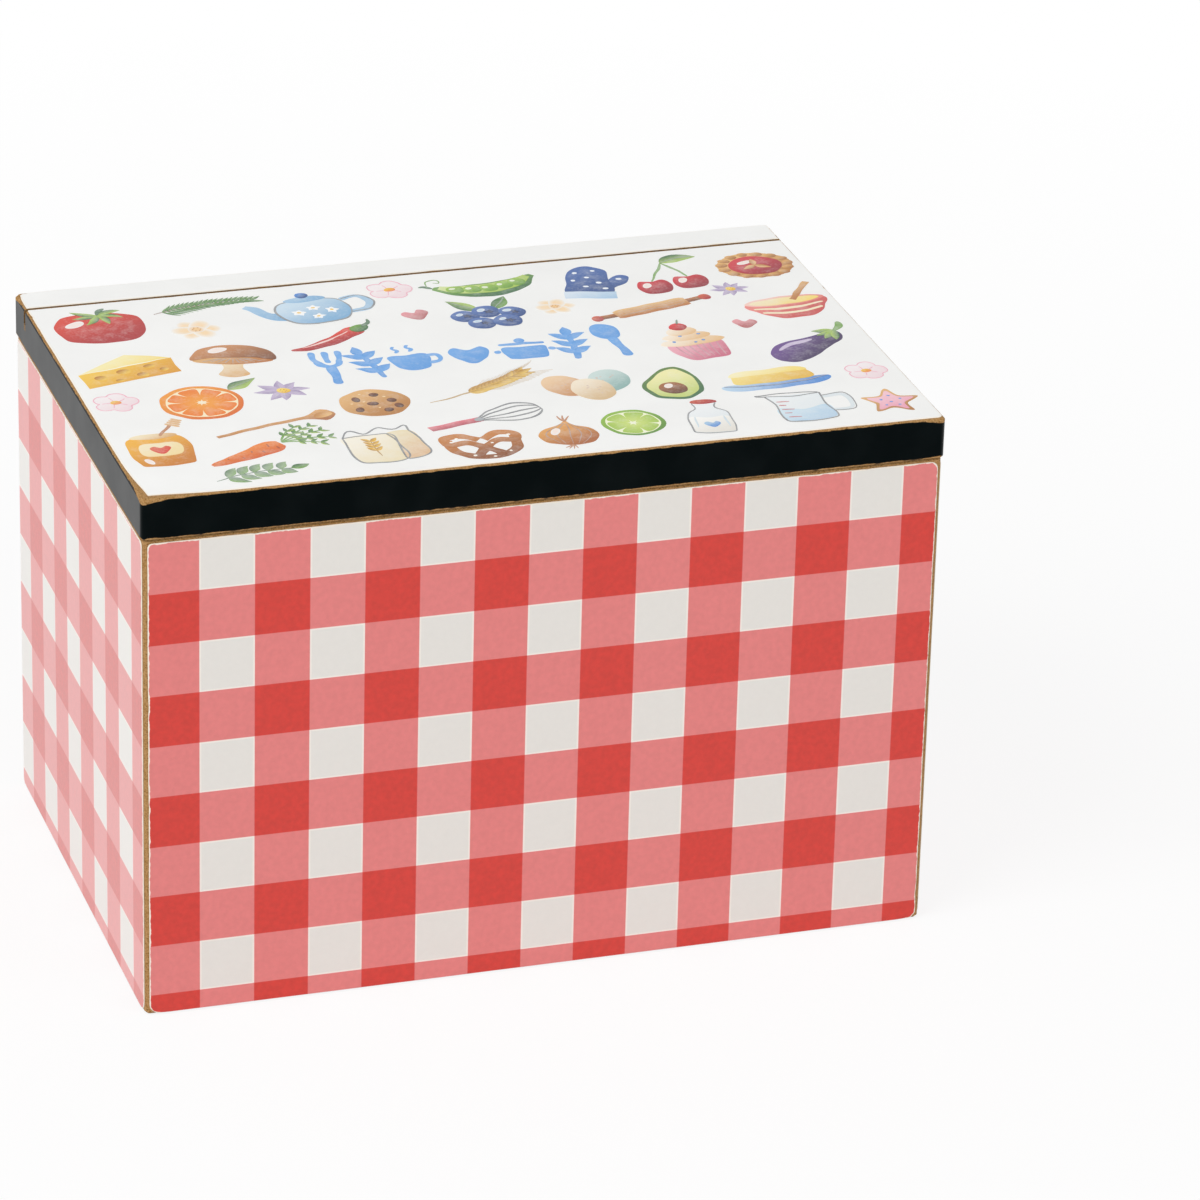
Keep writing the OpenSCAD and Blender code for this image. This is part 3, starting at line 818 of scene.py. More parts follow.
# %% [markdown]
# The motifs follow in groups, each a short function that draws about its own middle in
# millimetres. Later layers lie on earlier ones. Long things are bands along a curved path, whose
# half width follows a formula, and round ones are blobs whose right half is mirrored.

# %% Garden vegetables
def tomato(brush):
    fruit = both_sides([(0, 4.4), (1.8, 4.9), (4.9, 3.7), (6, 0), (4.3, -4.2), (0, -5.3)])
    brush.blob(fruit, TOMATO, DEEP_RED)
    brush.shine(-3.1, 1.3, 1.5, 0.9, 40)
    for turn in (200, 245, 295, 340, 20, 160):
        brush.leaf(0, 4.4, turn, 3.6, 1.1, LIME, PINE, 0.3, layer=2)
    brush.line([(0, 4.4), (0.4, 5.6), (1.4, 6.4)], 0.7, PINE, layer=3)


def carrot(brush):
    path = through([(-9, -2.4), (-4, -1.4), (1, -0.2), (5, 1)])
    u = np.linspace(0, 1, len(path))
    brush.band(path, 0.35 + 2.4 * u**0.7 * (1 - 0.6 * u**12), ORANGE, "#D4601F", (0.2, -1))
    for at, side in ((0.25, 1), (0.4, -1), (0.55, 1), (0.68, -1), (0.82, 1), (0.9, -1)):
        x, y = path[int(at * (len(path) - 1))]
        brush.line([(x, y + side * 0.3), (x + 0.15, y + side * 1.5 * at**0.5)], 0.3, "#A84414")
    for turn, length in ((-8, 8), (12, 9), (30, 8), (48, 6.5), (-25, 6.5)):
        frond = bent(5.4, 1.2, turn, length, 0.5)
        brush.line(frond, 0.35, LEAF, layer=0)
        for x, y in frond[3::2]:
            brush.leaf(x, y, turn + 40, 1.7, 0.7, LEAF, PINE, layer=1)
            brush.leaf(x, y, turn - 40, 1.7, 0.7, LIME, PINE, layer=1)


def pea_pod(brush):
    path = through([(-8, 1.5), (-4, -0.8), (0, -1.5), (4, -0.8), (8, 1.8)])
    u = np.linspace(0.02, 0.98, len(path))
    brush.band(path, 2.6 * np.sin(np.pi * u) ** 0.6, LEAF, PINE, (0.2, -1))
    brush.band(path[2:-2] + [0, 0.5], 1.7 * np.sin(np.pi * u[2:-2]) ** 0.6, "#D5E29A", LIME, layer=1)
    for x in (-4.9, -2.5, 0, 2.5, 4.8):
        y = 0.04 * x * x - 0.9
        brush.blob(oval(x, y, 1.35), "#9CC24F", LEAF, layer=2)
        brush.shine(x - 0.4, y + 0.4, 0.45, 0.35, ink="#E2EDB8", layer=3)
    brush.line([(-8, 1.5), (-9, 2.6), (-10, 2.7)], 0.6, PINE)
    brush.line([(-8.6, 2.4), (-8, 4.4), (-6.2, 4.6), (-6.3, 3.2), (-7.3, 3.5)], 0.22, LEAF)


def mushroom(brush):
    stalk = both_sides([(0, 0.6), (1.7, 0.5), (1.3, -2.5), (2, -5), (0, -5.8)])
    brush.blob(stalk, CREAM, TAN, strength=0.9)
    brush.blob(both_sides([(0, 0.9), (3, 0.8), (5.4, 0), (3, -1), (0, -1.3)]), TAN, CRUST, layer=1)
    for x in np.linspace(-4, 4, 9):
        brush.line([(0.35 * x, 0.6), (x, 0.03 * x * x - 0.8)], 0.16, COCOA, 0.6, 2)
    cap = both_sides([(0, 5.5), (3.4, 4.6), (5.3, 2.6), (5.7, 0.2), (3, 0.8), (0, 1)])
    brush.blob(cap, "#C98B5A", COCOA, layer=3)
    brush.shine(-2, 3.5, 1.5, 0.8, 30, layer=4)


report_wafers(tomato, carrot, pea_pod, mushroom)

# %% [markdown]
# A cut citrus is rind, pith and a ring of wedges, so an orange half and a lime slice share one
# function. Cherries and berries get a highlight each, where the wet brush lifted the ink.

# %% Fruit
def cherries(brush):
    cherry = both_sides([(0, 1.8), (1.8, 2.2), (2.6, 0), (1.6, -2.3)])
    for x, y in ((-2.7, -3), (2.9, -2.2)):
        brush.line([(x, y + 1.9), (0.5 * x + 0.8, 2.6), (0.7, 5.6)], 0.4, LEAF, layer=0)
        brush.blob(cherry + (x, y), "#D2303B", "#8E1F2E", layer=1)
        brush.shine(x - 1, y + 0.6, 0.6, 0.9, -20, layer=2)
    brush.leaf(0.7, 5.6, 12, 6, 2.7, LIME, PINE, 0.6, layer=2, vein=PINE)


def cut_citrus(brush, radius, wedges, rind, pith, flesh):
    """Rind, pith and wedges. The rind and the flesh have two inks each."""
    brush.blob(oval(0, 0, radius), *rind)
    brush.blob(oval(0, 0, 0.86 * radius), pith, strength=0.95, layer=1)
    for turn in np.arange(wedges) * 360 / wedges + 12:
        aside = 150 / wedges
        wedge = polar(radius * np.array([0.1, 0.76, 0.81, 0.76]), turn + np.array([0, -aside, 0, aside]))
        brush.blob(through(wedge, True), *flesh, lean=polar(1, turn), layer=2)


def orange_half(brush):
    cut_citrus(brush, 5.8, 8, ("#F09A34", "#DD6D1E"), "#FBEBC6", ("#F3A03C", "#EC8026"))
    brush.leaf(4.6, 3.6, 35, 5.5, 2.4, LIME, PINE, layer=2, vein=PINE)


def lime_slice(brush):
    cut_citrus(brush, 4.4, 6, ("#8DB83F", "#5E8E33"), "#F4F7D6", ("#CBDD7A", "#A6C653"))


def blueberries(brush):
    brush.leaf(-1, 1.5, 130, 6, 2.5, LIME, PINE, layer=0, vein=PINE)
    brush.leaf(1.5, 1.5, 60, 5.4, 2.3, LEAF, PINE, layer=0, vein=PINE)
    for x, y, r in ((-3.6, -0.2, 2.1), (0, 0.9, 2.2), (3.7, 0, 2.0), (-1.8, -3.2, 2.1), (2.1, -3.1, 2.2)):
        brush.blob(oval(x, y, r), "#5877B3", NAVY, layer=2)
        brush.shine(x - 0.6, y + 0.7, 0.7, 0.5, 30, SKY, 3)
        for turn in range(0, 360, 72):
            brush.leaf(x + 0.4, y - 0.1, turn, 0.8, 0.45, "#24375F", layer=4)


report_wafers(cherries, orange_half, lime_slice, blueberries)

# %% [markdown]
# The next four are shaded from a light ink above to a dark one below, and each has a pale stroke,
# a highlight or a paler layer that makes it look round.

# %% Chilli, aubergine, avocado and onion
def chilli(brush):
    path = through([(-8, -2.8), (-5, -2.6), (-1, -1.2), (2.6, 1), (4.8, 2.4)])
    u = np.linspace(0, 1, len(path))
    brush.band(path, 0.2 + 1.75 * u**0.6 * (1 - 0.3 * u**8), "#E2432E", "#A3222A", (0.3, -1))
    brush.line(path[6:-6] + [-0.25, 0.55], 0.4, BLUSH, 0.7, smooth=False)
    brush.blob(oval(5.2, 2.7, 1.7, 1.3, 30), LEAF, PINE, layer=2)
    brush.line([(5.8, 3), (7.4, 4.4), (7.6, 5.6)], 0.7, PINE, layer=3)


def aubergine(brush):
    fruit = [(-8.2, -1.8), (-6.4, 1.4), (-2.6, 2.6), (1.6, 2.6), (5.2, 3.5), (6.2, 1.6), (4.9, -0.4),
             (1.2, -2.3), (-3, -4.6), (-6.6, -4.6)]
    brush.blob(through(fruit, True), "#6A4A8C", "#3C2A55")
    brush.line([(-6, 0.2), (-3, 1.4), (1, 1.6)], 0.9, LILAC, 0.7)
    for turn in (160, 190, 215, 240):
        brush.leaf(5.9, 3, turn, 3.7, 1.5, LIME, PINE, layer=2)
    brush.line([(5.6, 2.8), (7.4, 4.2), (8.2, 5.8)], 1.1, LEAF, layer=3)


def avocado(brush):
    skin = both_sides([(0, 6.4), (2.4, 4.6), (4.2, 0.6), (4.4, -2.6), (2.4, -5.4), (0, -6)])
    brush.blob(skin, "#5D7F3A", PINE)
    brush.blob(0.86 * skin, "#F4EFB0", "#C6D37C", layer=1)
    brush.blob(oval(0, -1.8, 2.1, 2.2), "#A5673A", "#633A22", layer=2)
    brush.shine(-0.7, -1.1, 0.6, 0.8, -20, layer=3)


def onion(brush):
    bulb = both_sides([(0, 5.2), (1, 3.6), (3.6, 2), (4.9, -0.6), (3.6, -3.4), (0, -4.6)])
    brush.blob(bulb, "#E3A458", "#A9602C")
    for x in (-3.4, -1.8, 0.2, 2, 3.5):
        brush.line([(0.12 * x, 4.2), (0.9 * x, 1.2), (x, -1), (0.5 * x, -4)], 0.18, "#8F4E22", 0.7)
    for y, turns, length in ((4.8, (70, 95, 115), 2.4), (-4.4, (-60, -85, -110, -130), 1.6)):
        for turn in turns:
            brush.line(bent(0, y, turn, length, 0.1), 0.12 * length, CRUST, layer=2)
    brush.shine(-2, 0.8, 0.8, 1.4, -15)


report_wafers(chilli, aubergine, avocado, onion)

# %% [markdown]
# A sprig is a bent stem with leaves at each step along it. Petals are leaves or ovals round a
# middle, and one blossom is a single outline whose radius rises and falls five times.

# %% Herbs and flowers
def needle_sprig(brush):
    stem = bent(-8.5, -1.6, 8, 17, 1.1)
    brush.line(stem, 0.35, COCOA, 0.7, smooth=False)
    for k, (x, y) in enumerate(stem[2:]):
        brush.leaf(x, y, 54 - k, 3.3 - 0.05 * k, 0.6, PINE, LEAF, layer=2)
        brush.leaf(x, y, k - 38, 3.3 - 0.05 * k, 0.6, PINE, LEAF, layer=3)


def leaf_sprig(brush):
    stem = bent(-7.5, -1, 10, 15, 1)
    brush.line(stem, 0.32, PINE, 0.8, smooth=False)
    for k, (x, y) in enumerate(stem[3::3]):
        brush.leaf(x, y, 60, 4.6 - 0.3 * k, 2.1, LEAF, PINE, 0.4, 0.8, 2)
        brush.leaf(x, y, -36, 4.6 - 0.3 * k, 2.1, LEAF, PINE, -0.4, 0.8, 2)
    brush.leaf(*stem[-1], 16, 4, 2.1, LEAF, PINE, layer=2)


def wheat(brush):
    stem = bent(-9, -3, 20, 19, -1)
    brush.line(stem, 0.32, "#B98F3A", 0.8, smooth=False)
    for x, y in stem[9:]:
        for side in (1, -1):
            brush.leaf(x, y, 20 + side * 30, 3, 1.15, "#EBC764", "#B5812F", layer=2)
            brush.line(bent(x, y, 20 + side * 24, 6), 0.1, "#B98F3A", 0.6)
    brush.leaf(*stem[-1], 20, 3.2, 1.2, "#EBC764", "#B5812F", layer=2)


def filled_daisy(brush):
    for k in range(8):
        turn = 45 * k + 8 * math.sin(3 * k)
        brush.leaf(0, 0, turn, 4.6 + 0.4 * math.sin(5 * k), 1.9, LILAC, PLUM, 0.15, 0.75)
        brush.line(bent(0, 0, turn, 3.2), 0.2, PLUM, 0.5)
    brush.blob(oval(0, 0, 1.2, 1.1), BUTTER, STRAW, layer=3)
    brush.dots(polar(0.6, np.arange(0, 360, 60)), 0.12, CRUST, layer=4)


def outline_blossom(brush):
    turn = np.linspace(0, 360, 56, endpoint=False)
    petals = polar(3.1 + 1.4 * np.abs(np.cos(np.radians(2.5 * turn))) ** 0.6, turn)
    brush.blob(petals, "#FBE6EC", PINK, strength=0.35)
    brush.outline(petals, 1, PINK)
    for turn in range(36, 360, 72):
        brush.line(polar(np.array([0.9, 2.6]), turn), 0.18, PINK)
    brush.blob(oval(0, 0, 1.1, 0.9), STRAW, ORANGE, layer=2)


def soft_blossom(brush):
    for turn in range(0, 360, 60):
        petal = oval(*polar(1.9, turn), 2.1, 1.6, turn)
        brush.blob(petal, "#F9CF8A", strength=0.8, soft=1, layer=turn // 60 % 2)
    brush.blob(oval(0, 0, 1.3), "#F2B84C", strength=0.9, soft=0.9, layer=2)
    brush.dots(polar(0.6, np.arange(0, 360, 60)), 0.13, CRUST, layer=3)


def heart(brush):
    brush.blob(HEART, ROSE, DEEP_RED, strength=0.8)


report_wafers(needle_sprig, leaf_sprig, wheat, filled_daisy, outline_blossom, soft_blossom, heart)

# %% [markdown]
# Crockery gets a soft wash and then details over it: holes in the cheese, flowers on the teapot,
# a label on the honey pot and stripes round the bowl.

# %% Cheese and crockery
def cheese(brush):
    top = np.array([(-7, 0.4), (-2.5, 3.4), (1.2, 5.4), (4.4, 4.2), (7, 2.6), (0, 1.4)])
    side = np.array([(-7, 0.4), (0, 1.5), (7, 2.6), (6.9, 0), (6.9, -2.4), (0, -3.6), (-6.9, -4.6),
                     (-7, -2)])
    brush.blob(top, "#FBEFB4", BUTTER)
    brush.blob(side, "#F5C94C", "#DE9C2A", layer=1)
    for x, y, r in ((-4.3, -1.6, 0.9), (-0.6, -0.3, 1.1), (3.4, 0.7, 0.8), (1.6, -2, 0.9), (5, -1.1, 0.7),
                    (-2, -3, 0.6)):
        brush.blob(oval(x, y, r, 0.8 * r), "#B97A1E", "#EFC65A", layer=2)
    brush.line(side[:3], 0.28, "#FDF6D2", layer=2)


def teapot(brush):
    for wide, ink, layer in ((1.1, "#9CC3E0", 0), (0.22, PENCIL, 1)):
        grip = np.array([(4.6, 2.4), (7.2, 3), (8.4, 0.8), (7.2, -1.6), (4.6, -2)]) * (1 + 0.07 * layer)
        brush.line(grip, wide, ink, layer=layer, taper=0)
    spout = through([(-4, -1.6), (-6.4, -0.4), (-7.6, 2.4), (-8.8, 3.6)])
    brush.band(spout, [1.4, 0.9, 0.6], SKY, "#7FB0D6", layer=1)
    body = both_sides([(0, 4), (4, 3), (5.2, 0), (4.2, -3.4), (2, -4.6)])
    brush.blob(body, "#CFE3F1", "#7FB0D6", layer=2)
    brush.outline(body, 3)
    brush.blob(oval(0, 3.9, 3, 1), SKY, "#7FB0D6", layer=3)
    brush.blob(oval(0, 5.3, 0.9), BLUE, NAVY, layer=4)
    for x, y in ((-2.3, -0.6), (0.2, 0.6), (2.4, -0.8), (0, -2.4)):
        for turn in range(0, 360, 72):
            brush.leaf(x, y, turn, 1, 0.7, "#FDFDFD", strength=1, layer=4)
        brush.dots([(x, y)], 0.28, STRAW, layer=5)


def honey_pot(brush):
    pot = both_sides([(0, 4.7), (3, 4.6), (4.2, 3.4), (4.6, 0), (4, -4), (2.8, -5.6)])
    brush.blob(pot, "#F2B43C", "#C9791F")
    brush.blob(oval(0, 4.7, 3.4, 0.9), CREAM, TAN, layer=1)
    label = both_sides([(0, 2.3), (2.6, 2), (3.1, -0.2), (2.4, -2), (0, -2.2)])
    brush.blob(label, CREAM, "#F3DCA0", layer=1)
    brush.blob(0.6 * HEART, "#DD6D4E", TOMATO, layer=2)
    brush.line([(1, 4.8), (3.4, 8.4)], 0.5, CRUST, layer=2, taper=0)
    for k in range(4):
        brush.line([(2.6 + 0.45 * k, 8.5 + 0.6 * k), (4.5 + 0.25 * k, 7.4 + 0.6 * k)], 0.55, TAN, layer=3)
    brush.shine(-2.6, -3.9, 0.5, 1, 20)


def mixing_bowl(brush):
    bowl = both_sides([(0, 2.4), (7, 2.2), (6, -1.4), (3.4, -4.4), (0, -5)])
    brush.blob(bowl, "#EE8F88", "#C9504D", layer=1)
    for y, half in ((0.2, 6.3), (-1.7, 5.4)):
        brush.line([(-half, y), (0, y - 1.1), (half, y)], 0.8, CREAM, 0.95, 2, 0.2)
    brush.blob(oval(0, 2.4, 7.1, 1.9), "#F8D2C6", "#E78A80", layer=3)
    brush.blob(oval(0, 2.3, 6.3, 1.4), CREAM, BUTTER, layer=4)
    brush.band(bent(1.5, 2.3, 52, 8.6), 0.55, TAN, CRUST, layer=5)


report_wafers(cheese, teapot, honey_pot, mixing_bowl)

# %% [markdown]
# Wooden tools are bands that a darker brown shades from below, with fine lines for the grain. The
# whisk's wires are thin lines between its handle and its tip, two of them over the others.

# %% Rolling pin and whisk
def rolling_pin(brush):
    brush.band(bent(-11.5, 0, 0, 23), 0.75, CRUST, COCOA, (0, -1))
    brush.band(bent(-7.6, 0, 0, 15.2), [1.5] + [1.95] * 14 + [1.5], "#E7BE86", CRUST, (0, -1), layer=1)
    for y, ink in ((0.9, CRUST), (0.2, CRUST), (-0.7, COCOA)):
        brush.line([(-6.6, y), (-1, y + 0.2), (3, y - 0.1), (6.8, y + 0.1)], 0.14, ink, 0.6, 2)
    for x in (-11.4, 11.4):
        brush.blob(oval(x, 0, 1.1, 1.2), "#D2603F", DEEP_RED, layer=2)


def whisk(brush):
    brush.band(bent(-9, 0, 0, 8.5), 0.8, ROSE, "#B5525F", (0, -1), layer=1)
    for reach in (-3, -1.6, 0, 1.6, 3):
        wire = [(-0.8, 0.15 * reach), (3, 0.8 * reach), (6.6, reach), (9, 0.5 * reach), (9.4, 0)]
        brush.line(wire, 0.32, PENCIL, layer=2 + (reach > 0))
    brush.line([(-1.6, 0), (-0.2, 0)], 1.3, "#9FA4A8", layer=4, taper=0)


report_wafers(rolling_pin, whisk)

# %% [markdown]
# Cakes are built as a baker builds them: dough first, then icing or jam a layer above it, and
# chips, salt or sugar on top.

# %% Cakes and biscuits
def cupcake(brush):
    brush.blob(both_sides([(0, -0.2), (3.9, 0.4), (3, -4.6), (0, -5.2)]), "#F2B1BF", "#CC6C84")
    for x in np.linspace(-3, 3, 7):
        brush.line([(x, 0), (0.78 * x, -4.6)], 0.22, "#B9536E", 0.7)
    puff = both_sides([(0.6, 1.2), (1, 0), (0.5, -1.2)])
    for layer, (y, half) in enumerate(((1, 4.7), (2.9, 3.5), (4.6, 2.2))):
        brush.blob(puff * (half, 1) + (0, y), "#FCEEDA", "#E9C08C", layer=layer + 2)
    brush.blob(oval(0.2, 6.3, 1.3), "#DD3B3F", DEEP_RED, layer=5)
    brush.line([(0.3, 7.2), (1.2, 8.6)], 0.3, PINE, layer=6)
    brush.dots([(-2.6, 1.6), (1.6, 1), (-0.8, 3.2), (1.9, 3.1), (0.2, 0.6)], 0.25, BLUE, layer=6)


def pretzel(brush):
    arm = np.array([(-2.4, -4.4), (-0.4, -1.4), (2.6, 1.6), (5.8, 1.4), (6.2, 4), (3.4, 4.8), (0.4, 2.6)])
    bottom = [(-6.1, 3.2), (-5.4, -1.6), (-2.6, -4.4), (0, -4.9), (2.6, -4.4), (5.4, -1.6), (6.1, 3.2)]
    for layer, path in enumerate((bottom, arm, arm * (-1, 1))):
        brush.band(through(path), 0.95, "#C98242", "#8A4F24", (0.2, -1), layer=layer)
    salt = [(-5.4, 2.4), (5.2, 3.6), (-2.9, -3.9), (0.4, -4.9), (3.6, -3.4), (-4, 3.9), (1.6, 0.7)]
    brush.dots(salt, 0.32, "#FDF8EE", 1, 4)


def biscuit(brush):
    brush.blob(oval(0, 0, 4.9, 4.7), "#E3B377", "#B67C3E")
    for x, y in ((-2.3, 1.6), (0.6, 2.6), (2.4, 0.4), (-0.4, -0.4), (-2.6, -1.9), (1.3, -2.8), (3, -1.6)):
        brush.blob(oval(x, y, 0.8, 0.65, 40 * x), COCOA, "#4E2C1B", layer=1)
    brush.dots([(-1.2, 3.2), (1.8, 1.8), (-3.3, 0.3), (0.2, -1.8), (-1.4, 0.6)], 0.2, "#F2D9A9")


def star_biscuit(brush):
    star = through(polar(np.tile([5.2, 2.9], 5), np.arange(0, 360, 36) + 90), True)
    brush.blob(star, "#E2B073", "#AE7436")
    brush.blob(0.8 * star, "#F7C8D3", PINK, layer=1)
    brush.dots([(0, 2.2), (-1.7, 0.6), (1.6, 0.8), (0, -0.4), (-1, -1.8), (1.2, -1.7)], 0.28, BLUE, layer=2)


def jam_tart(brush):
    brush.blob(oval(0, 0, 5.4, 4.6), "#E8BC7C", "#B97E3F")
    for x, y in polar(1, np.arange(0, 360, 24)) * (4.8, 4.1):
        brush.blob(oval(x, y, 0.85, 0.7), "#DDAA66", "#A86C33", layer=1)
    brush.blob(oval(0, 0, 3.9, 3.3), "#D23A45", "#9B2133", layer=2)
    brush.shine(-1.2, 1.2, 1.2, 0.6, 20, layer=3)
    for turn in (90, 210, 330):
        brush.leaf(0, 0, turn, 2.3, 1.1, "#E8BC7C", "#B97E3F", layer=4)


report_wafers(cupcake, pretzel, biscuit, star_biscuit, jam_tart)

# %% [markdown]
# Glass and white china would vanish on white paper, so a pencil outline goes round the jug and the
# bottle, and their milk is a shape of its own. The mitt's thumb lies behind its hand.

# %% Mitt, jug and bottle
def mitt(brush):
    thumb = [(1.2, -2.6), (2.2, 0.6), (3.7, 2.7), (5.2, 2.3), (4.9, 0.2), (3.2, -1.8), (2.2, -3.4)]
    hand = [(-3.4, -4), (-3.6, 0), (-3.2, 4), (-0.8, 6), (1.8, 4.8), (2.4, 1), (2.7, -4)]
    for layer, path in enumerate((thumb, hand)):
        brush.blob(through(path, True), "#4568A8", NAVY, layer=layer)
    brush.band(bent(-4, -4.6, 0, 7.3), 1.25, "#DCE8F4", SKY, layer=2)
    spots = [(-2.2, 3.4), (0.3, 4.3), (-0.6, 1.8), (-2.5, 0.6), (1, 0), (-1, -1.6), (3.9, 1.2), (1.7, -2.2)]
    brush.dots(spots, 0.38, "#F4F8FC", 1, 2)


def jug(brush):
    side = through([(-4.2, 4.6), (-3.6, 1), (-4, -3.4), (-2.8, -5), (2.8, -5), (4, -3.4), (3.6, 1),
                    (4, 4.4)])
    brush.line([(3.8, 2.8), (7, 2.8), (7, -1.6), (3.9, -2)], 0.75, CLOUD, layer=0, taper=0)
    brush.line([(3.8, 3.3), (7.5, 3.3), (7.5, -2), (3.9, -2.4)], 0.2, PENCIL, taper=0)
    brush.blob(side, "#EFF4F6", CLOUD, strength=0.8, layer=1)
    milk = both_sides([(0, -0.8), (3.7, 0), (3.9, -3.2), (2.7, -4.8)])
    brush.blob(milk, "#CFE6F2", SKY, strength=0.8, layer=2)
    brush.line(side, 0.22, PENCIL, layer=3, taper=0, smooth=False)
    lip = [(-5.4, 5.2), (-4.2, 4.6), (0, 3.9), (4, 4.4), (0, 5.3), (-4, 5.2), (-5.4, 5.2)]
    brush.line(lip, 0.22, PENCIL, layer=3, taper=0)
    for k in range(5):
        brush.line([(-3.2, 2.4 - 1.4 * k), (-1.4 - 0.7 * (k % 2), 2.2 - 1.4 * k)], 0.2, "#C2575C", layer=4)


def milk_bottle(brush):
    side = both_sides([(1.8, 6.6), (1.7, 4.2), (3.4, 1.6), (3.6, -4.6), (2.6, -6.2)])
    brush.blob(side, "#F4F7F8", CLOUD, strength=0.9)
    milk = both_sides([(0, 0.1), (3.3, 0.4), (3.5, -4.4), (2.5, -5.9)])
    brush.blob(milk, "#FDFCF8", "#E7E3DA", layer=1)
    brush.outline(side, 2)
    brush.blob(oval(0, 6.8, 2.3, 0.9), "#C8553D", DEEP_RED, layer=3)
    for x in (-2.5, 2.4):
        brush.line([(x, 0.6), (1.1 * x, -4)], 0.3, "#C9DCE6", 0.8, 3)
    brush.blob(0.55 * HEART + (0, -2.7), SKY, BLUE, layer=3)


report_wafers(mitt, jug, milk_bottle)

# %% [markdown]
# The last group is what a cake is made of, and the spoon that stirs it.

# %% Eggs, flour, spoon and butter
def eggs(brush):
    for layer, (x, y, turn, ink, to) in enumerate(((-3.4, 0.4, 25, "#F0CFA8", "#C98F5E"),
                                                   (3.2, 0.8, -20, "#CFE0DC", "#8FB3AE"),
                                                   (0, -1.8, 5, "#F7E9D2", "#D8B98C"))):
        brush.blob(oval(x, y, 3.1, 4, turn), ink, to, layer=layer)
        brush.dots(brush.rng.uniform(-1.7, 1.7, (7, 2)) + (x, y), 0.16, CRUST, 0.55, layer)


def sack(brush):
    front = [(-5, 3.6), (-5.3, 0), (-4.8, -5), (1.4, -5.4), (1.9, 0), (1.3, 3.4)]
    side = [(1.3, 3.4), (1.9, 0), (1.4, -5.4), (4.9, -4.2), (5.1, 0), (4.6, 3.8)]
    top = [(-5, 3.6), (-3.4, 5.6), (-1.6, 4.2), (0.6, 5.7), (2.6, 4.6), (4.6, 5.6), (4.6, 3.8)]
    brush.blob(through(front, True), "#FBF3DF", "#EBD9A9", strength=0.75)
    brush.blob(through(side, True), "#EBD9A9", TAN, strength=0.75, layer=1)
    for path in (front + front[:1], side, top):
        brush.line(path, 0.24, PENCIL, layer=2, taper=0)
    stalk = bent(-1.7, -3.6, 90, 5)
    brush.line(stalk, 0.22, "#B98F3A", layer=3)
    for x, y in stalk[2:]:
        for turn in (45, 135):
            brush.leaf(x, y, turn, 1.6, 0.7, STRAW, "#B5812F", layer=3)


def wooden_spoon(brush):
    path = bent(-11, 0, 0, 22, 0.6)
    u = np.linspace(0, 1, len(path))
    half = 0.45 + 1.9 * np.exp(-(((u - 0.9) / 0.085) ** 2)) * (u < 0.99)
    brush.band(path, half, "#DFA868", "#A9683A", (0, -1))
    brush.blob(oval(8.8, 0.2, 1.7, 1.0), "#C58849", "#E9BE83", layer=1)


def butter_dish(brush):
    brush.blob(both_sides([(0, -1), (7.6, -1.6), (6.6, -3.4), (0, -4)]), "#BFD9EE", BLUE)
    block = both_sides([(0, 2.8), (4.4, 2.8), (5.6, 1.2), (5.6, -1.4), (0, -1.9)])
    brush.blob(block, "#F9E28C", "#E7B94A", layer=1)
    brush.blob(both_sides([(0, 2.8), (4.4, 2.8), (5.6, 1.2), (0, 1)]), "#FDF3C2", BUTTER, layer=2)
    brush.line([(-7.6, -1.7), (-3, -2.6), (3, -2.6), (7.6, -1.7)], 0.3, NAVY, 0.7, 3)


report_wafers(eggs, sack, wooden_spoon, butter_dish)

# %% [markdown]
# ## The layout
# Each row below gives a motif, its place on the lid in millimetres from the middle, its turn in
# degrees and its size. Big motifs keep to the border and small flowers and hearts fill the gaps.

# %% Layout of the lid
LAYOUT = [
    (tomato, -67, 30.5, -6, 1.5), (needle_sprig, -45, 36.5, 0, 1.2), (teapot, -24, 29.5, 4, 1.45),
    (outline_blossom, -6.5, 36, 0, 1.05), (pea_pod, 13, 33.5, 6, 1.35), (mitt, 34, 30, -14, 1.45),
    (cherries, 49.5, 29, 0, 1.4), (jam_tart, 69, 31, 0, 1.45), (filled_daisy, 60, 20, 0, 0.85),
    (cheese, -67, 8, 4, 1.4), (soft_blossom, -49, 25, 0, 1.25), (mushroom, -46, 8, -12, 1.45),
    (chilli, -24, 14.2, 5, 1.25), (heart, -5, 22, 10, 1.1), (blueberries, 9, 19, 0, 1.35),
    (soft_blossom, 23, 19.5, 0, 1.05), (rolling_pin, 41.5, 14.2, 14, 1.1), (mixing_bowl, 68.5, 8.5, 4, 1.2),
    (outline_blossom, -73, -7, 0, 1.0), (orange_half, -57, -11, 0, 1.4), (filled_daisy, -40.5, -9, 0, 1.15),
    (cupcake, 44, -6, 6, 1.45), (heart, 57, 2, -12, 1.0), (aubergine, 66.5, -11.5, 14, 1.3),
    (honey_pot, -70, -31, 0, 1.35), (wooden_spoon, -46, -25, 14, 1.15), (biscuit, -25, -19, 0, 1.4),
    (wheat, -4.5, -17, 6, 1.2), (eggs, 17.5, -20.5, 0, 1.35), (avocado, 33.5, -24, -18, 1.3),
    (butter_dish, 53, -25.5, 3, 1.4), (outline_blossom, 72, -27, 0, 0.95), (carrot, -53, -36, 12, 1.15),
    (leaf_sprig, -56, -47, 0, 1.0), (sack, -28.5, -39, 3, 1.4), (whisk, -7, -31.5, 14, 1.3),
    (pretzel, -10.5, -44, 0, 1.1), (onion, 6.5, -42.5, -10, 1.2), (lime_slice, 20, -40.5, 0, 1.4),
    (milk_bottle, 35, -41.8, -8, 1.15), (jug, 54, -41, 0, 1.35), (star_biscuit, 71.5, -42.5, -8, 1.15),
]
print(len(LAYOUT), "pictures on the lid")

